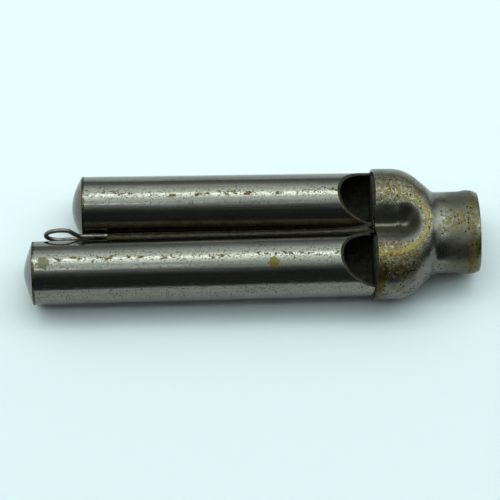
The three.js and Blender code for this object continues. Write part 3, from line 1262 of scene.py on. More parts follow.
    def build_cap(self) -> bpy.types.Object:
        """Makes the domed cap, with a small groove at its seam and a skirt inside the bore.

        Returns:
            The piece.
        """
        radius, soft = self.datum.tube_radius, self.cap_round
        seat = -self.reach - self.seam_gap
        height = self.cap_height + self.cap_gap - self.seam_gap
        skirt_radius = self.datum.bore - self.skirt_play
        skirt_end = -self.reach + self.skirt_length
        dome = self.dome(seat, height)
        corner = [
            (seat - soft * math.cos(angle) * 0.9, radius - soft + soft * math.sin(angle))
            for angle in (0.5, 1.0, 1.5)
        ]
        skirt = [
            (seat, radius - soft),
            (seat, skirt_radius),
            (skirt_end, skirt_radius),
            (skirt_end, skirt_radius - self.cap_wall),
            (seat, skirt_radius - self.cap_wall),
        ]
        hollow = [(x + self.cap_wall, r) for x, r in reversed(dome[:15])]
        angles = circle(self.cap_columns)
        grid = np.stack([self.around(x, r, angles) for x, r in dome + corner + skirt + hollow])
        edge = np.zeros(grid.shape[:2])
        edge[len(dome) - 1 : len(dome) + len(corner) + 1] = self.cap_seam_wear
        tip = self.to_whistle(np.array([seat - height, 0.0, 0.0]))
        inner_tip = tip + np.array([self.cap_wall, 0.0, 0.0])
        draft = Draft()
        # painted shade: every point of the cap takes the grey film, which darkens the whole cap
        film, pitting = np.ones_like(edge), np.full_like(edge, self.cap_pitting)
        draft.solid(grid, tip, inner_tip, edge=edge, dull=film, pitted=pitting)
        return draft.build(f"{self.prefix}_tube_dome_cap", self.datum)

    def build_plug(self) -> bpy.types.Object:
        """Makes the slug behind the window, with a flat top for the air to run over.

        Returns:
            The piece.
        """
        radius, soft = self.datum.bore - self.plug_play, self.plug_round
        half = math.acos(self.plug_flat / radius)
        arc = np.linspace(half, 2 * math.pi - half, 90)
        flat = np.linspace(-half, half, 16)[1:-1]
        arc_yz = np.stack([radius * np.sin(arc), radius * np.cos(arc)], axis=-1)
        flat_yz = np.stack([self.plug_flat * np.tan(flat), np.full_like(flat, self.plug_flat)], axis=-1)
        outline = np.concatenate([arc_yz, flat_yz])
        front, back = -self.plug_proud, self.datum.socket_depth
        rounding = [(0.0, 1 - soft / radius), (0.3 * soft, 1 - 0.3 * soft / radius), (soft, 1.0)]
        rows = [(front + inset, scale) for inset, scale in rounding]
        rows += [(back - inset, scale) for inset, scale in reversed(rounding)]
        sections = [np.column_stack([np.full(len(outline), x), outline * scale]) for x, scale in rows]
        grid = self.to_whistle(np.stack(sections))
        tips = self.to_whistle(np.array([[front, 0.0, 0.0], [back, 0.0, 0.0]]))
        draft = Draft()
        draft.solid(grid, *tips)
        return draft.build(f"{self.prefix}_tube_plug", self.datum)

    def build(self, finishes: Finishes, plate: bpy.types.Material) -> None:
        """Builds and dresses the three pieces.

        Args:
            finishes: The whistle's materials.
            plate: The plate of this tube.
        """
        # painted shade: the bore, the window's cut face and the plug behind the window take the dark hollow
        # finish
        dress(self.build_tube(), "nickel_plate", f"{self.prefix}_tube", plate, finishes.soot)
        dress(self.build_cap(), "nickel_plate", f"{self.prefix}_tube_end_cap", plate)
        dress(self.build_plug(), "bare_brass", f"{self.prefix}_tube_fipple_plug", finishes.soot)


@dataclass(frozen=True)
class HeadWear:
    """Where the head's plate is rubbed, stained, pitted, dull and hazy.

    Places are in millimetres of whistle coordinates, and strengths run from 0 to about 1.
    """

    horseshoe_start: float = 3.0
    horseshoe_length: float = 7.5
    horseshoe_middle: float = -0.8
    horseshoe_half_width: float = 6.8
    arm_spread: float = 1.5
    ridge_spread: float = 0.75
    upper_arm: float = 0.55
    lower_arm: float = 0.80
    ridge: float = 0.82
    upper_lobe: float = 0.47
    lower_lobe: float = 0.50
    low_patch: float = 0.72
    low_patch_place: float = -10.8
    neck: float = 0.42
    ring: float = 0.52
    near_ring: float = 0.30
    ring_place: float = 19.7
    ring_spread: float = 1.05
    corner: float = 1.05
    corner_place: float = -11.5
    everywhere: float = 0.03
    lower_stain: float = 1.3
    upper_stain: float = 0.585
    valley_spread: float = 2.4

    def neck_patch(self, x: Array, y: Array, z: Array) -> Array:
        """The rubbed patch along the neck's window side."""
        return self.neck * hump(y, -0.2, 4.0) * smooth(12.6, 13.6, x) * smooth(0.0, 3.0, z)

    def corner_patch(self, x: Array, y: Array) -> Array:
        """The bare, dulled patch at the collar's edge on the long tube's outer side."""
        return (1 - smooth(0.4, 3.2, x + 0.25 * np.abs(y - self.corner_place))) * smooth(-7.5, -9.6, y)

    def rubbed(self, x: Array, y: Array, z: Array) -> Array:
        """How far the plate is rubbed through to brass.

        Args:
            x: Places along the head.
            y: Places across it.
            z: Heights above the mid-plane.

        Returns:
            The strengths.
        """
        top = smooth(2.0, 5.0, z) * (1 - smooth(11.6, 12.4, x))
        # the horseshoe: up one lobe's crest, round the shoulder's ridge and back down the other
        run = np.maximum(x - self.horseshoe_start, 0.0) / self.horseshoe_length
        oval = np.hypot(run, (y - self.horseshoe_middle) / self.horseshoe_half_width)
        spread = lerp(self.arm_spread, self.ridge_spread, smooth(5.0, 10.0, x))
        strength = lerp(self.upper_arm, self.lower_arm, smooth(3.0, -3.0, y))
        strength = np.maximum(strength, self.ridge * smooth(7.0, 9.5, x))
        horseshoe = strength * hump((oval - 1.0) * self.horseshoe_half_width, 0.0, spread)
        upper_lobe = self.upper_lobe * band(y, (2.8, 4.2), (9.6, 11.2)) * (1 - smooth(9.0, 10.4, x))
        lower_lobe = self.lower_lobe * band(-y, (4.0, 5.5), (9.4, 11.0)) * (1 - smooth(8.0, 10.0, x))
        on_top = top * np.maximum.reduce([horseshoe, upper_lobe, lower_lobe])
        low_patch = self.low_patch * hump(y, self.low_patch_place, 1.3)
        low_patch = low_patch * (1 - smooth(5.5, 8.5, x)) * smooth(2.0, 4.0, z)
        ring = self.ring + self.near_ring * smooth(-3.0, -6.0, y)
        ring = ring * hump(x, self.ring_place, self.ring_spread)
        corner = self.corner * self.corner_patch(x, y)
        return np.maximum.reduce([on_top, low_patch, ring, corner, self.neck_patch(x, y, z)])

    def stained(self, x: Array, y: Array, z: Array) -> Array:
        """How far the bared brass is stained red, most of all on the long tube's lobe.

        Args:
            x: Places along the head.
            y: Places across it.
            z: Heights above the mid-plane.

        Returns:
            The strengths.
        """
        high = smooth(2.0, 5.0, z)
        lower = self.lower_stain * hump(x, 3.2, 2.4) * hump(y, -7.4, 2.6) * high
        upper = self.upper_stain * hump(x, 3.0, 3.0) * hump(y, 7.4, 2.6) * high
        return lower + upper * (1 - smooth(11.6, 12.4, x))

    def masks(self, grid: Array) -> dict[str, Array]:
        """The wear of every point.

        Args:
            grid: Points in whistle coordinates.

        Returns:
            The named masks, 0 to 1.
        """
        x, y, z = (grid[..., i] / MM for i in range(3))
        rub = self.rubbed(x, y, z)
        low_side = smooth(-6.0, -10.0, y) * smooth(5.0, 1.0, z)
        pitted = 0.6 * rub + low_side + 0.5 * self.neck_patch(x, y, z)
        dim = 0.75 * self.corner_patch(x, y) + 0.5 * low_side * (1 - smooth(0.0, 1.0, x))
        valley = hump(y, 0.0, self.valley_spread) * (1 - smooth(8.6, 10.2, x)) * smooth(1.0, 3.0, z)
        return {
            "rub": np.clip(rub + self.everywhere, 0.0, 1.0),
            "stain": np.clip(self.stained(x, y, z), 0.0, 1.0),
            "pitted": np.clip(pitted, 0.0, 1.0),
            "dim": np.clip(dim, 0.0, 0.85),
            "hazy": np.maximum(band(x, (13.5, 16.0), (19.5, 21.0)), valley),
        }


@dataclass
class MouthpieceHead:
    """The pressed shell: a two-lobed collar, a shoulder, an oval neck and a rolled lip."""

    datum: Datum
    collar_radius: float = 7.2 * MM
    wall: float = 0.6 * MM
    shoulder_start: float = 3.7 * MM
    shoulder_radius: float = 7.4 * MM
    shoulder_slope: float = math.pi / 4
    neck_fillet: float = 1.5 * MM
    neck_half_width: float = 8.55 * MM
    neck_half_height: float = 6.8 * MM
    bead_place: float = 19.1 * MM
    bead_rise: float = 0.27 * MM
    bead_spread: float = 1.3 * MM
    lip_start: float = 19.9 * MM
    lip_drop: float = 0.27 * MM
    lip_round: float = 0.15 * MM
    mouth_wall: float = 0.75 * MM
    mouth_depth: float = 1.6 * MM
    valley_floor: float = 3.3 * MM
    valley_end: float = 5.4 * MM
    valley_crest: float = 9.3 * MM
    crest_height: float = 7.45 * MM
    ridge_crest: float = 10.9 * MM
    ridge_fade: float = 2.0 * MM
    drop_start: float = 10.6 * MM
    drop_end: float = 12.9 * MM
    valley_half_width: float = 2.4 * MM
    valley_rounding: float = 0.75 * MM
    valley_flatness: float = 2.3
    dent_slow: float = 0.035 * MM
    dent_quick: float = 0.02 * MM
    skin_set: float = 0.04 * MM
    neck_place: float = 13.6 * MM
    lip_place: float = 16.5 * MM
    inner_end: float = 17.5 * MM
    columns: int = 240
    crowding: float = 1.25
    halvings: int = 44

    def bead_and_lip(self, x: Array) -> Array:
        """How far the surface stands out from the plain neck at the lip.

        Args:
            x: Axial places.

        Returns:
            The heights.
        """
        bead = self.bead_rise * hump(x, self.bead_place, self.bead_spread)
        past = np.maximum(0.0, x - self.lip_start) / (self.datum.head_length - self.lip_start)
        return bead - self.lip_drop * past**2

    def crest(self, x: Array) -> Array:
        """Half the head's height along its crest: a swell to the shoulder, then a drop to the neck.

        Args:
            x: Axial places.

        Returns:
            The half heights.
        """
        swell = smooth(self.shoulder_start, self.drop_start, x)
        shoulder = lerp(self.collar_radius, self.crest_height, swell)
        drop = smooth(self.drop_start, self.drop_end, x)
        return lerp(shoulder, self.neck_half_height, drop) + self.bead_and_lip(x)

    def half_width(self, x: Array) -> Array:
        """Half the head's width seen from above.

        Args:
            x: Axial places.

        Returns:
            The half widths.
        """
        full = self.datum.axis_offset + self.collar_radius
        slope = self.shoulder_slope
        bend_end = self.shoulder_start + self.shoulder_radius * math.sin(slope)
        bend_height = full - self.shoulder_radius * (1 - math.cos(slope))
        corner = bend_end + (bend_height - self.neck_half_width) / math.tan(slope)
        tangent = self.neck_fillet * math.tan(slope / 2)
        fillet_start = corner - tangent * math.cos(slope)
        fillet_end = corner + tangent
        bend_run = np.clip(x - self.shoulder_start, 0.0, self.shoulder_radius)
        bend = full - self.shoulder_radius + np.sqrt(self.shoulder_radius**2 - bend_run**2)
        fall = bend_height - (x - bend_end) * math.tan(slope)
        fillet_run = np.clip(fillet_end - x, 0.0, self.neck_fillet)
        fillet = self.neck_half_width + self.neck_fillet - np.sqrt(self.neck_fillet**2 - fillet_run**2)
        return np.select(
            [x <= self.shoulder_start, x <= bend_end, x <= fillet_start, x <= fillet_end],
            [np.full_like(x, full), bend, fall, fillet],
            self.neck_half_width + self.bead_and_lip(x),
        )

    def height(self, x: Array, y: Array) -> Array:
        """Height of the surface above the mid-plane.

        Args:
            x: Axial places.
            y: Places across the head.

        Returns:
            The heights, 0 past the head's width.
        """
        width = self.half_width(x)
        growth = smooth(self.shoulder_start, self.ridge_crest, x)
        bulge = lerp(self.collar_radius, self.neck_half_width, growth)
        fade = 1 - smooth(self.ridge_crest, self.ridge_crest + self.ridge_fade, x)
        crown = np.maximum(0.0, width - bulge) * fade
        lobe = width - crown
        roundness = self.crest(x) / lobe
        across = np.abs(y)
        outer = roundness * np.sqrt(np.maximum(lobe**2 - (across - crown) ** 2, 0.0))
        power = self.valley_flatness
        rounded = (across**power + self.valley_rounding**power) ** (1 / power)
        inner = roundness * np.sqrt(lobe**2 - np.maximum(0.0, crown - rounded) ** 2)
        inner_floor = roundness * np.sqrt(lobe**2 - crown**2)
        floor = lerp(self.valley_floor, inner_floor, smooth(self.valley_end, self.valley_crest, x))
        press = 1 - np.minimum(1.0, floor / inner_floor)
        groove = inner * (1 - press * hump(across, 0.0, self.valley_half_width))
        return np.where(across >= width, 0.0, np.where(across >= crown, outer, groove))

    def reach(self, x: Array, angle: Array) -> Array:
        """Distance from the centre line to the surface, found by halving.

        Args:
            x: Axial places.
            angle: Angles from +Z, in radians.

        Returns:
            The distances.
        """
        low = np.zeros(x.shape)
        high = np.full(x.shape, 2 * (self.datum.axis_offset + self.collar_radius))
        for _ in range(self.halvings):
            middle = (low + high) / 2
            inside = np.abs(middle * np.cos(angle)) < self.height(x, middle * np.sin(angle))
            low, high = np.where(inside, middle, low), np.where(inside, high, middle)
        return low

    def angles(self) -> Array:
        """Column angles from +Z, closer together in the grooves at the top and the bottom.

        Returns:
            The angles, in radians.
        """
        share = np.linspace(0.0, 1.0, self.columns // 4, endpoint=False)
        rising = share**self.crowding
        falling = 1 - (1 - share) ** self.crowding
        turns = [rising, 1 + falling, 2 + rising, 3 + falling]
        return np.concatenate(turns) * math.pi / 2

    def stations(self) -> Array:
        """Axial places of the rings, from the collar's edge to the mouth.

        Returns:
            The places.
        """
        collar = np.linspace(0.15 * MM, self.shoulder_start, 10, endpoint=False)
        shoulder = np.linspace(self.shoulder_start, self.neck_place, 64, endpoint=False)
        neck = np.linspace(self.neck_place, self.lip_place, 6, endpoint=False)
        lip = np.linspace(self.lip_place, self.datum.head_length - 0.12 * MM, 22)
        return np.concatenate([collar, shoulder, neck, lip])

    def plain_skin(self) -> Array:
        """The outer skin as a grid of points, before the dents and the edge's lean.

        Returns:
            Rings by columns by 3 coordinates.
        """
        x, angle = np.meshgrid(self.stations(), self.angles(), indexing="ij")
        reach = self.reach(x, angle)
        return np.stack([x, reach * np.sin(angle), reach * np.cos(angle)], axis=-1)

    @staticmethod
    def normals(grid: Array) -> Array:
        """Outward unit normals of a grid that is closed across its columns.

        Args:
            grid: Rings by columns by 3 coordinates.

        Returns:
            One normal per point.
        """
        around = np.roll(grid, -1, axis=1) - np.roll(grid, 1, axis=1)
        along = np.gradient(grid, axis=0)
        raw = np.cross(around, along)
        raw /= np.linalg.norm(raw, axis=-1, keepdims=True)
        outward = (raw[..., 1:] * grid[..., 1:]).sum(axis=-1, keepdims=True)
        return raw * np.sign(outward)

    def lean(self, grid: Array) -> Array:
        """Sets the collar's edge back on the window side, and fades that out by the shoulder.

        Args:
            grid: Points whose edge is square to the tubes.

        Returns:
            The moved points.
        """
        x, y, z = (grid[..., i] for i in range(3))
        leaned = x + self.datum.rim_x(y, z) * (1 - smooth(0.0, self.shoulder_start, x))
        return np.stack([leaned, y, z], axis=-1)

    def dents(self, grid: Array) -> Array:
        """Slow, shallow unevenness of pressed and handled sheet.

        Args:
            grid: The points.

        Returns:
            A height per point.
        """
        x, y, z = (grid[..., i] / MM for i in range(3))
        slow = np.sin(0.55 * x + 0.31 * y + 1.1) * np.sin(0.47 * y - 0.38 * z + 0.4)
        quick = np.sin(1.15 * x - 0.83 * y + 2.0) * np.sin(0.9 * z + 0.6 * y)
        return band(x, (0.5, 3.0), (17.0, 19.0)) * (self.dent_slow * slow + self.dent_quick * quick)

    def collar_edge(self, outer: Array, inner: Array) -> Array:
        """The collar's rounded edge, from the inner skin to the outer one.

        Args:
            outer: The outer skin's first ring.
            inner: The inner skin's first ring.

        Returns:
            The rings.
        """
        rings = []
        for depth, x in ((0.75, 0.04 * MM), (0.5, 0.0), (0.25, 0.0), (0.08, 0.05 * MM)):
            ring = lerp(outer, inner, depth)
            ring[:, 0] = x
            rings.append(ring)
        return np.stack(rings)

    def mouth_edge(self, end: Array) -> Array:
        """The mouth's rounded flat end and the start of its bore.

        Args:
            end: The outer skin's last ring.

        Returns:
            The rings.
        """
        soft, wall = self.lip_round, self.mouth_wall
        half_width, half_height = np.abs(end[:, 1]).max(), np.abs(end[:, 2]).max()
        steps = [
            (0.06 * MM, 0.03 * MM),
            (soft, 0.0),
            (wall - soft, 0.0),
            (wall - 0.03 * MM, 0.06 * MM),
            (wall, 0.3 * MM),
            (wall, self.mouth_depth),
        ]
        rings = []
        for depth, back in steps:
            x = np.full(len(end), self.datum.head_length - back)
            y = end[:, 1] * (1 - depth / half_width)
            z = end[:, 2] * (1 - depth / half_height)
            rings.append(np.stack([x, y, z], axis=-1))
        return np.stack(rings)

    def build_shell(self) -> bpy.types.Object:
        """Makes the shell with rounded edges at the collar and at the mouth.

        Returns:
            The piece.
        """
        plain = self.plain_skin()
        outward = self.normals(plain)
        outer = plain + outward * (self.dents(plain) - self.skin_set)[..., None]
        inner = (plain - outward * self.wall)[self.stations() < self.inner_end]
        edge = self.collar_edge(outer[0], inner[0])
        roll = self.mouth_edge(outer[-1])
        grid = np.concatenate([edge, outer, roll, inner[::-1]])
        draft = Draft()
        draft.sheet(self.lean(grid), True, **HeadWear().masks(grid))
        # painted shade: the inside takes the dark hollow finish from just behind the mouth's end to the
        # collar's edge
        in_hollow_shade = np.zeros(grid.shape[:2], int)
        in_hollow_shade[len(edge) + len(outer) + len(roll) - 2 : -1] = 1
        draft.finishes = in_hollow_shade.ravel().tolist()
        return draft.build("mouthpiece_shell", self.datum)

    def build(self, finishes: Finishes) -> None:
        """Builds and dresses the shell."""
        dress(self.build_shell(), "worn_plate", "mouthpiece_head", finishes.head_plate, finishes.soot)


@dataclass
class LanyardLoop:
    """A bent wire: an oval eye in the mid-plane and two legs, one above the other."""

    datum: Datum
    wire_radius: float = 0.44 * MM
    centre_x: float = -62.8 * MM
    centre_z: float = 2.4 * MM
    half_width: float = 3.05 * MM
    half_height: float = 2.25 * MM
    upper_opening: float = 1.0
    lower_opening: float = 1.3
    upper_leg: float = 1.7 * MM
    lower_leg: float = 0.55 * MM
    leg_end: float = -53.6 * MM
    leg_straight: float = 5.7 * MM
    smoothings: int = 3
    columns: int = 20

    def route(self) -> Array:
        """The wire's centre line from the end of one leg to the end of the other.

        Returns:
            The points.
        """
        legs = np.linspace(0.0, self.leg_straight, 8)
        upper = [(self.leg_end - run, self.upper_leg) for run in legs]
        lower = [(self.leg_end - run, self.lower_leg) for run in legs[::-1]]
        turn = np.linspace(self.upper_opening, 2 * math.pi - self.lower_opening, 40)
        eye_x = self.centre_x + self.half_width * np.cos(turn)
        eye_z = self.centre_z + self.half_height * np.sin(turn)
        points = np.concatenate([upper, np.column_stack([eye_x, eye_z]), lower])
        for _ in range(self.smoothings):
            points = self.round_off(points)
        return np.column_stack([points[:, 0], np.zeros(len(points)), points[:, 1]])

    @staticmethod
    def round_off(points: Array) -> Array:
        """One pass of corner cutting that keeps the two ends.

        Args:
            points: The points of a line.

        Returns:
            About twice as many points.
        """
        cut = np.empty((2 * len(points) - 2, points.shape[1]))
        cut[0::2] = lerp(points[:-1], points[1:], 0.25)
        cut[1::2] = lerp(points[:-1], points[1:], 0.75)
        return np.concatenate([points[:1], cut, points[-1:]])

    def build_wire(self) -> bpy.types.Object:
        """Sweeps a round section along the route and closes its ends.

        Returns:
            The piece.
        """
        route = self.route()
        along = np.gradient(route, axis=0)
        along /= np.linalg.norm(along, axis=1, keepdims=True)
        side = np.array([0.0, 1.0, 0.0])
        up = np.cross(along, side)
        angles = circle(self.columns)
        section = np.cos(angles)[None, :, None] * side + np.sin(angles)[None, :, None] * up[:, None, :]
        draft = Draft()
        draft.solid(route[:, None, :] + self.wire_radius * section, route[0], route[-1])
        return draft.build("lanyard_loop_wire", self.datum)

    def build(self, finishes: Finishes) -> None:
        """Builds and dresses the wire."""
        dress(self.build_wire(), "loop_wire", "lanyard_loop", finishes.wire)


@dataclass(frozen=True)
class Bead:
    """A small round bead of solder."""

    centre: Place
    radius: float

    def add(self, draft: Draft) -> None:
        """Adds the bead to a mesh.

        Args:
            draft: The mesh.
        """
        centre, up = np.array(self.centre), np.array([0.0, 0.0, self.radius])
        falls = np.linspace(0.0, math.pi, 12)[1:-1, None]
        turns = circle(20)[None, :]
        offsets = [np.sin(falls) * np.cos(turns), np.sin(falls) * np.sin(turns), np.cos(falls) + 0 * turns]
        draft.solid(centre + self.radius * np.stack(offsets, axis=-1), centre + up, centre - up)


@dataclass
class SolderWork:
    """The solder: a seam in each groove, a bed under the loop's legs and a fillet at each collar."""

    datum: Datum
    seam_start: float = -53.4 * MM
    bed_start: float = -58.0 * MM
    bed_end: float = -53.0 * MM
    sections: int = 200
    across: int = 12
    hollow: float = 0.35 * MM
    overlap: float = 0.05 * MM
    root_depth: float = 0.6 * MM
    root_height: float = 0.8 * MM
    fillet_start: float = math.radians(78.0)
    fillet_end: float = math.radians(236.0)
    fillet_length: float = 1.1 * MM
    fillet_rise: float = 0.62 * MM
    fillet_sink: float = 0.03 * MM
    fillet_tuck: float = 0.25 * MM
    head_beads: tuple[Bead, ...] = (
        Bead((-0.95 * MM, 0.05 * MM, 3.55 * MM), 0.34 * MM),
        Bead((-0.15 * MM, 0.20 * MM, 3.95 * MM), 0.28 * MM),
        Bead((-0.05 * MM, -0.55 * MM, 4.05 * MM), 0.24 * MM),
    )

    def half_gap(self, x: Array, z: Array) -> Array:
        """Half the clear width between the tubes, along the groove and above the axes."""
        reach = np.sqrt(np.maximum(self.datum.tube_radius**2 - z**2, 0.0))
        return self.datum.axis_offset - x * self.datum.splay - reach

    @staticmethod
    def ripple(x: Array, y: Array, size: float) -> Array:
        """Uneven height of hand-run solder.

        Args:
            x: Places along the run.
            y: Places across it.
            size: How uneven it is.

        Returns:
            The heights.
        """
        along, over = x / MM, y / MM
        slow = np.sin(0.9 * along + 0.7) * np.sin(0.37 * along + 2.1)
        quick = np.sin(3.1 * along + 2.2 * over) * np.sin(1.7 * along + 0.3)
        return size * (0.6 * slow + 0.4 * quick)

    @staticmethod
    def window_side_height(share: Array) -> Array:
        """Height in millimetres of the window side's seam, which climbs steeply at the head."""
        return 0.8 + 0.5 * share + 0.9 * share**8 + 1.6 * share**40

    @staticmethod
    def underside_height(share: Array) -> Array:
        """Height in millimetres of the underside's seam, deeper towards the head."""
        return 1.3 + 1.5 * share**2

    @staticmethod
    def bed_height(share: Array) -> Array:
        """Height in millimetres of the bed under the loop's legs, a little higher in its middle."""
        return 0.75 + 0.2 * np.sin(math.pi * share)

    def groove(
        self, start: float, end: float, heights: Callable[[Array], Array], place: Groove, lumps: float
    ) -> Draft:
        """A run of solder between the tubes, hollow across its face and rooted in the gap.

        Args:
            start: Where it starts along the whistle.
            end: Where it ends.
            heights: Height of its middle above the axes, in millimetres, at a share of its length.
            place: Which groove it lies in.
            lumps: How uneven its face is.

        Returns:
            The mesh in the making.
        """
        share = np.linspace(0.0, 1.0, self.sections)[:, None]
        x = lerp(start, end, share)
        middle = heights(share) * MM
        shoulder = middle + self.hollow * np.clip(np.minimum(share, 1 - share) * 40, 0.25, 1.0)
        over = np.linspace(-1.0, 1.0, self.across)[None, :]
        y = (self.half_gap(x, shoulder) + self.overlap) * over
        z = middle + (shoulder - middle) * over**2 + self.ripple(x + 0 * y, y, lumps) * (1 - over**2)
        root = np.minimum(middle - self.root_depth, self.root_height)
        root_y = (self.half_gap(x, root) + 0.8 * self.overlap) * np.array([[0.9, -0.9]])
        y = np.concatenate([y, root_y], axis=1)
        z = np.concatenate([z, root + 0 * root_y], axis=1)
        draft = Draft()
        draft.solid(np.stack([x + 0 * y, y, place.value * z], axis=-1))
        return draft

    def collar_fillet(self, tube: Tube) -> Draft:
        """A lumpy fillet round the outer and lower side of one tube, against the collar's edge.

        Args:
            tube: Which tube it goes round.

        Returns:
            The mesh in the making.
        """
        angle = np.linspace(self.fillet_start, self.fillet_end, 90)[:, None]
        taper = np.sin(np.linspace(0.0, math.pi, len(angle)))[:, None] ** 0.4
        over = np.linspace(0.0, math.pi / 2, 7)[None, :]
        length = self.fillet_length * taper + self.ripple(angle * 6 * MM, 0 * angle, 0.12 * MM)
        foot = self.datum.tube_radius - self.fillet_sink
        x = np.concatenate([-length * (1 - np.sin(over)), np.full_like(angle, self.fillet_tuck)], axis=1)
        radius = foot + self.fillet_rise * taper * (1 - np.cos(over))
        radius = np.concatenate([radius, np.full_like(angle, foot)], axis=1)
        y = tube.value * (self.datum.axis_offset + radius * np.sin(angle))
        z = radius * np.cos(angle)
        draft = Draft()
        draft.solid(np.stack([x + self.datum.rim_x(y, z), y, z], axis=-1))
        return draft

    def build(self, finishes: Finishes) -> None:
        """Builds and dresses every run of solder.

        Args:
            finishes: The whistle's materials.
        """
        upper = self.groove(self.seam_start, 0.0, self.window_side_height, Groove.WINDOW_SIDE, 0.04 * MM)
        for bead in self.head_beads:
            bead.add(upper)
        lower = self.groove(self.seam_start, -0.3 * MM, self.underside_height, Groove.UNDERSIDE, 0.07 * MM)
        bed = self.groove(self.bed_start, self.bed_end, self.bed_height, Groove.WINDOW_SIDE, 0.08 * MM)
        runs = (
            ("window_side_solder", "window_side_seam", upper),
            ("underside_solder", "underside_seam", lower),
            ("loop_solder_bed", "loop_solder", bed),
            ("long_collar_fillet", "long_collar_solder", self.collar_fillet(Tube.LONG)),
            ("short_collar_fillet", "short_collar_solder", self.collar_fillet(Tube.SHORT)),
        )
        for name, node, draft in runs:
            dress(draft.build(name, self.datum), "solder", node, finishes.solder)


# The stage


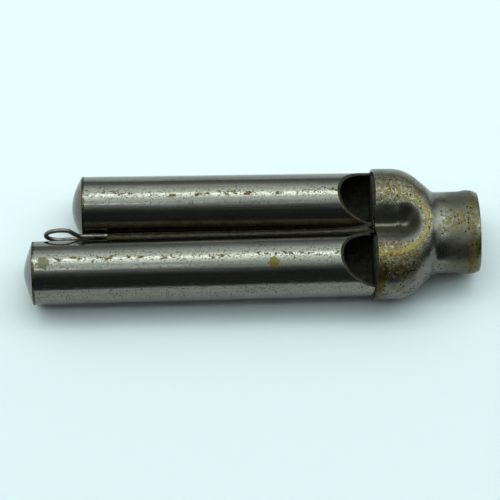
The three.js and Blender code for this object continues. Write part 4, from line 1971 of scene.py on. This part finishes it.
@dataclass
class Studio:
    """The board under the whistle, the soft light round it and the camera."""

    datum: Datum
    board_half: float = 1.2
    board_steps: int = 9
    board_gap: float = 0.01 * MM
    crest_place: float = 10.6 * MM
    azimuth: float = math.radians(-2.07)
    elevation: float = math.radians(65.1)
    roll: float = math.radians(-1.2)
    distance: float = 0.524
    target_x: float = -24.7 * MM
    target_z: float = -6.47 * MM
    lens: float = 184.9
    sensor: float = 36.0
    clipping: tuple[float, float] = (0.01, 10.0)
    light_tint: Colour = (0.82, 1.0, 1.02)
    brightest: float = 5.0
    end_level: float = 0.15
    end_cone: tuple[float, float] = (0.70, 0.97)
    # a thin lamp that only the closed ends mirror
    strip_angle: float = math.radians(-11.5)
    strip_core: float = math.radians(1.5)
    strip_rim: float = math.radians(2.6)
    strip_ends: tuple[float, float] = (-0.034, -0.020)
    # brightness round the X axis, by angle in degrees from straight up towards +Y
    room_levels: tuple[tuple[float, float], ...] = (
        (-92, 0.60), (-89, 0.055), (-42, 0.055), (-34, 0.11), (-28, 0.22), (-21, 0.42), (-14, 0.85),
        (-6, 1.25), (2, 1.55), (8, 2.0), (14, 2.6), (20, 4.6), (25, 4.4), (29, 1.8), (41, 1.65),
        (50, 1.3), (60, 0.88), (70, 0.42), (82, 0.28), (88, 0.28), (92, 0.60),
    )
    overhead_size: tuple[float, float] = (0.9, 0.5)
    overhead_power: float = 0.6
    overhead_tint: Colour = (0.95, 1.0, 1.0)
    overhead_place: Place = (0.0, 0.30, 0.75)

    def resting_plane(self) -> tuple[Vector, float]:
        """The plane that the shoulder's crest and the long tube's closed end both touch.

        Returns:
            A point on it, and its slope along X.
        """
        head_low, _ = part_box("mouthpiece_head")
        tube_low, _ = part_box("long_tube")
        crest = Vector((self.datum.edge_x + self.crest_place, 0.0, head_low.z))
        slope = (crest.z - tube_low.z) / (crest.x - tube_low.x)
        return crest, slope

    def build_board(self) -> None:
        """Lays the board on the resting plane."""
        crest, slope = self.resting_plane()
        count = self.board_steps
        steps = np.linspace(-self.board_half, self.board_half, count)
        x, y = np.meshgrid(steps, steps, indexing="ij")
        z = crest.z + slope * (x - crest.x) - self.board_gap
        corners = [row * count + column for row in range(count - 1) for column in range(count - 1)]
        faces = [(i, i + count, i + count + 1, i + 1) for i in corners]
        mesh = bpy.data.meshes.new("pale_board")
        mesh.from_pydata(np.stack([x, y, z], axis=-1).reshape(-1, 3).tolist(), [], faces)
        mesh.materials.append(PaleTable().build())
        board = bpy.data.objects.new("pale_board", mesh)
        bpy.context.scene.collection.objects.link(board)

    def build_camera(self) -> None:
        """Sets the camera above the near side, turned to look at the whistle's middle."""
        data = bpy.data.cameras.new("camera")
        data.lens = self.lens
        data.sensor_width = self.sensor
        data.clip_start, data.clip_end = self.clipping
        camera = bpy.data.objects.new("camera", data)
        e, a = self.elevation, self.azimuth
        back = Vector((math.sin(a), -math.cos(e) * math.cos(a), math.sin(e) * math.cos(a)))
        target = Vector((self.datum.edge_x + self.target_x, 0.0, self.datum.axis_z + self.target_z))
        right = (Vector((1.0, 0.0, 0.0)) - back * back.x).normalized()
        up = back.cross(right)
        c, s = math.cos(self.roll), math.sin(self.roll)
        right, up = c * right + s * up, c * up - s * right
        axes = Matrix((right, up, back)).transposed()
        camera.matrix_world = Matrix.Translation(target + back * self.distance) @ axes.to_4x4()
        bpy.context.scene.collection.objects.link(camera)
        bpy.context.scene.camera = camera

    def tinted(self, level: float) -> Colour:
        """The light's colour at a share of the brightest level."""
        red, green, blue = (channel * level for channel in self.light_tint)
        return red, green, blue

    def build_room(self) -> None:
        """Surrounds the whistle with a long overhead light, a grey far side and a dark near side."""
        world = bpy.data.worlds.new("room")
        world.use_nodes = True
        bpy.context.scene.world = world
        graph = Graph(world.node_tree)
        direction = graph.node("ShaderNodeTexCoord").outputs["Generated"]
        x, y, z = (graph.along(axis, direction) for axis in Axis)
        tilt = graph.math("ARCTAN2", y, z)
        turn_share = graph.line(tilt, 0.5 / math.pi, 0.5)
        stops = [
            (0.5 + degrees / 360.0, self.tinted(level / self.brightest))
            for degrees, level in self.room_levels
        ]
        toward_end = graph.span(graph.math("ABSOLUTE", x), *self.end_cone)
        end_colour = self.tinted(self.end_level / self.brightest)
        colour = graph.blend(toward_end, graph.ramp(turn_share, stops), end_colour)
        off_strip = graph.math("ABSOLUTE", graph.math("SUBTRACT", tilt, self.strip_angle))
        strip = graph.span(off_strip, self.strip_core, self.strip_rim, 1.0, 0.0)
        strip = graph.times(strip, graph.span(x, *self.strip_ends, 1.0, 0.0))
        background = graph.node("ShaderNodeBackground")
        graph.feed(background.inputs["Color"], graph.blend(strip, colour, self.tinted(1.0)))
        background.inputs["Strength"].default_value = self.brightest
        output = graph.node("ShaderNodeOutputWorld")
        graph.feed(output.inputs["Surface"], background.outputs[0])

    def build_light(self) -> None:
        """Hangs a broad soft light behind and above, which the metal doesn't mirror."""
        data = bpy.data.lights.new("overhead", "AREA")
        data.shape = "RECTANGLE"
        data.size, data.size_y = self.overhead_size
        data.energy = self.overhead_power
        data.color = self.overhead_tint
        light = bpy.data.objects.new("overhead", data)
        light.location = self.overhead_place
        light.rotation_mode = "QUATERNION"
        light.rotation_quaternion = Vector(self.overhead_place).to_track_quat("Z", "Y")
        light.visible_glossy = False
        bpy.context.scene.collection.objects.link(light)

    def build(self) -> None:
        """Builds the stage in order."""
        self.build_camera()
        self.build_board()
        self.build_room()
        self.build_light()
        settings = bpy.context.scene.view_settings
        settings.view_transform = "Standard"
        settings.look = "None"


def main() -> None:
    """Builds the whistle and its stage."""
    logging.basicConfig(level=logging.INFO, format="%(message)s")
    datum = Datum.from_frame()
    finishes = Finishes.make(datum)
    turn = math.radians(3.5)
    long_tube = Barrel(datum, Tube.LONG, reach=68.5 * MM, turn=turn, cap_height=1.6 * MM, cap_point=0.75)
    short_tube = Barrel(datum, Tube.SHORT, reach=58.5 * MM, turn=0.0, cap_height=1.9 * MM, cap_point=0.15)
    long_tube.build(finishes, finishes.long_plate)
    short_tube.build(finishes, finishes.short_plate)
    MouthpieceHead(datum).build(finishes)
    LanyardLoop(datum).build(finishes)
    SolderWork(datum).build(finishes)
    Studio(datum).build()


if __name__ == "__main__":
    main()
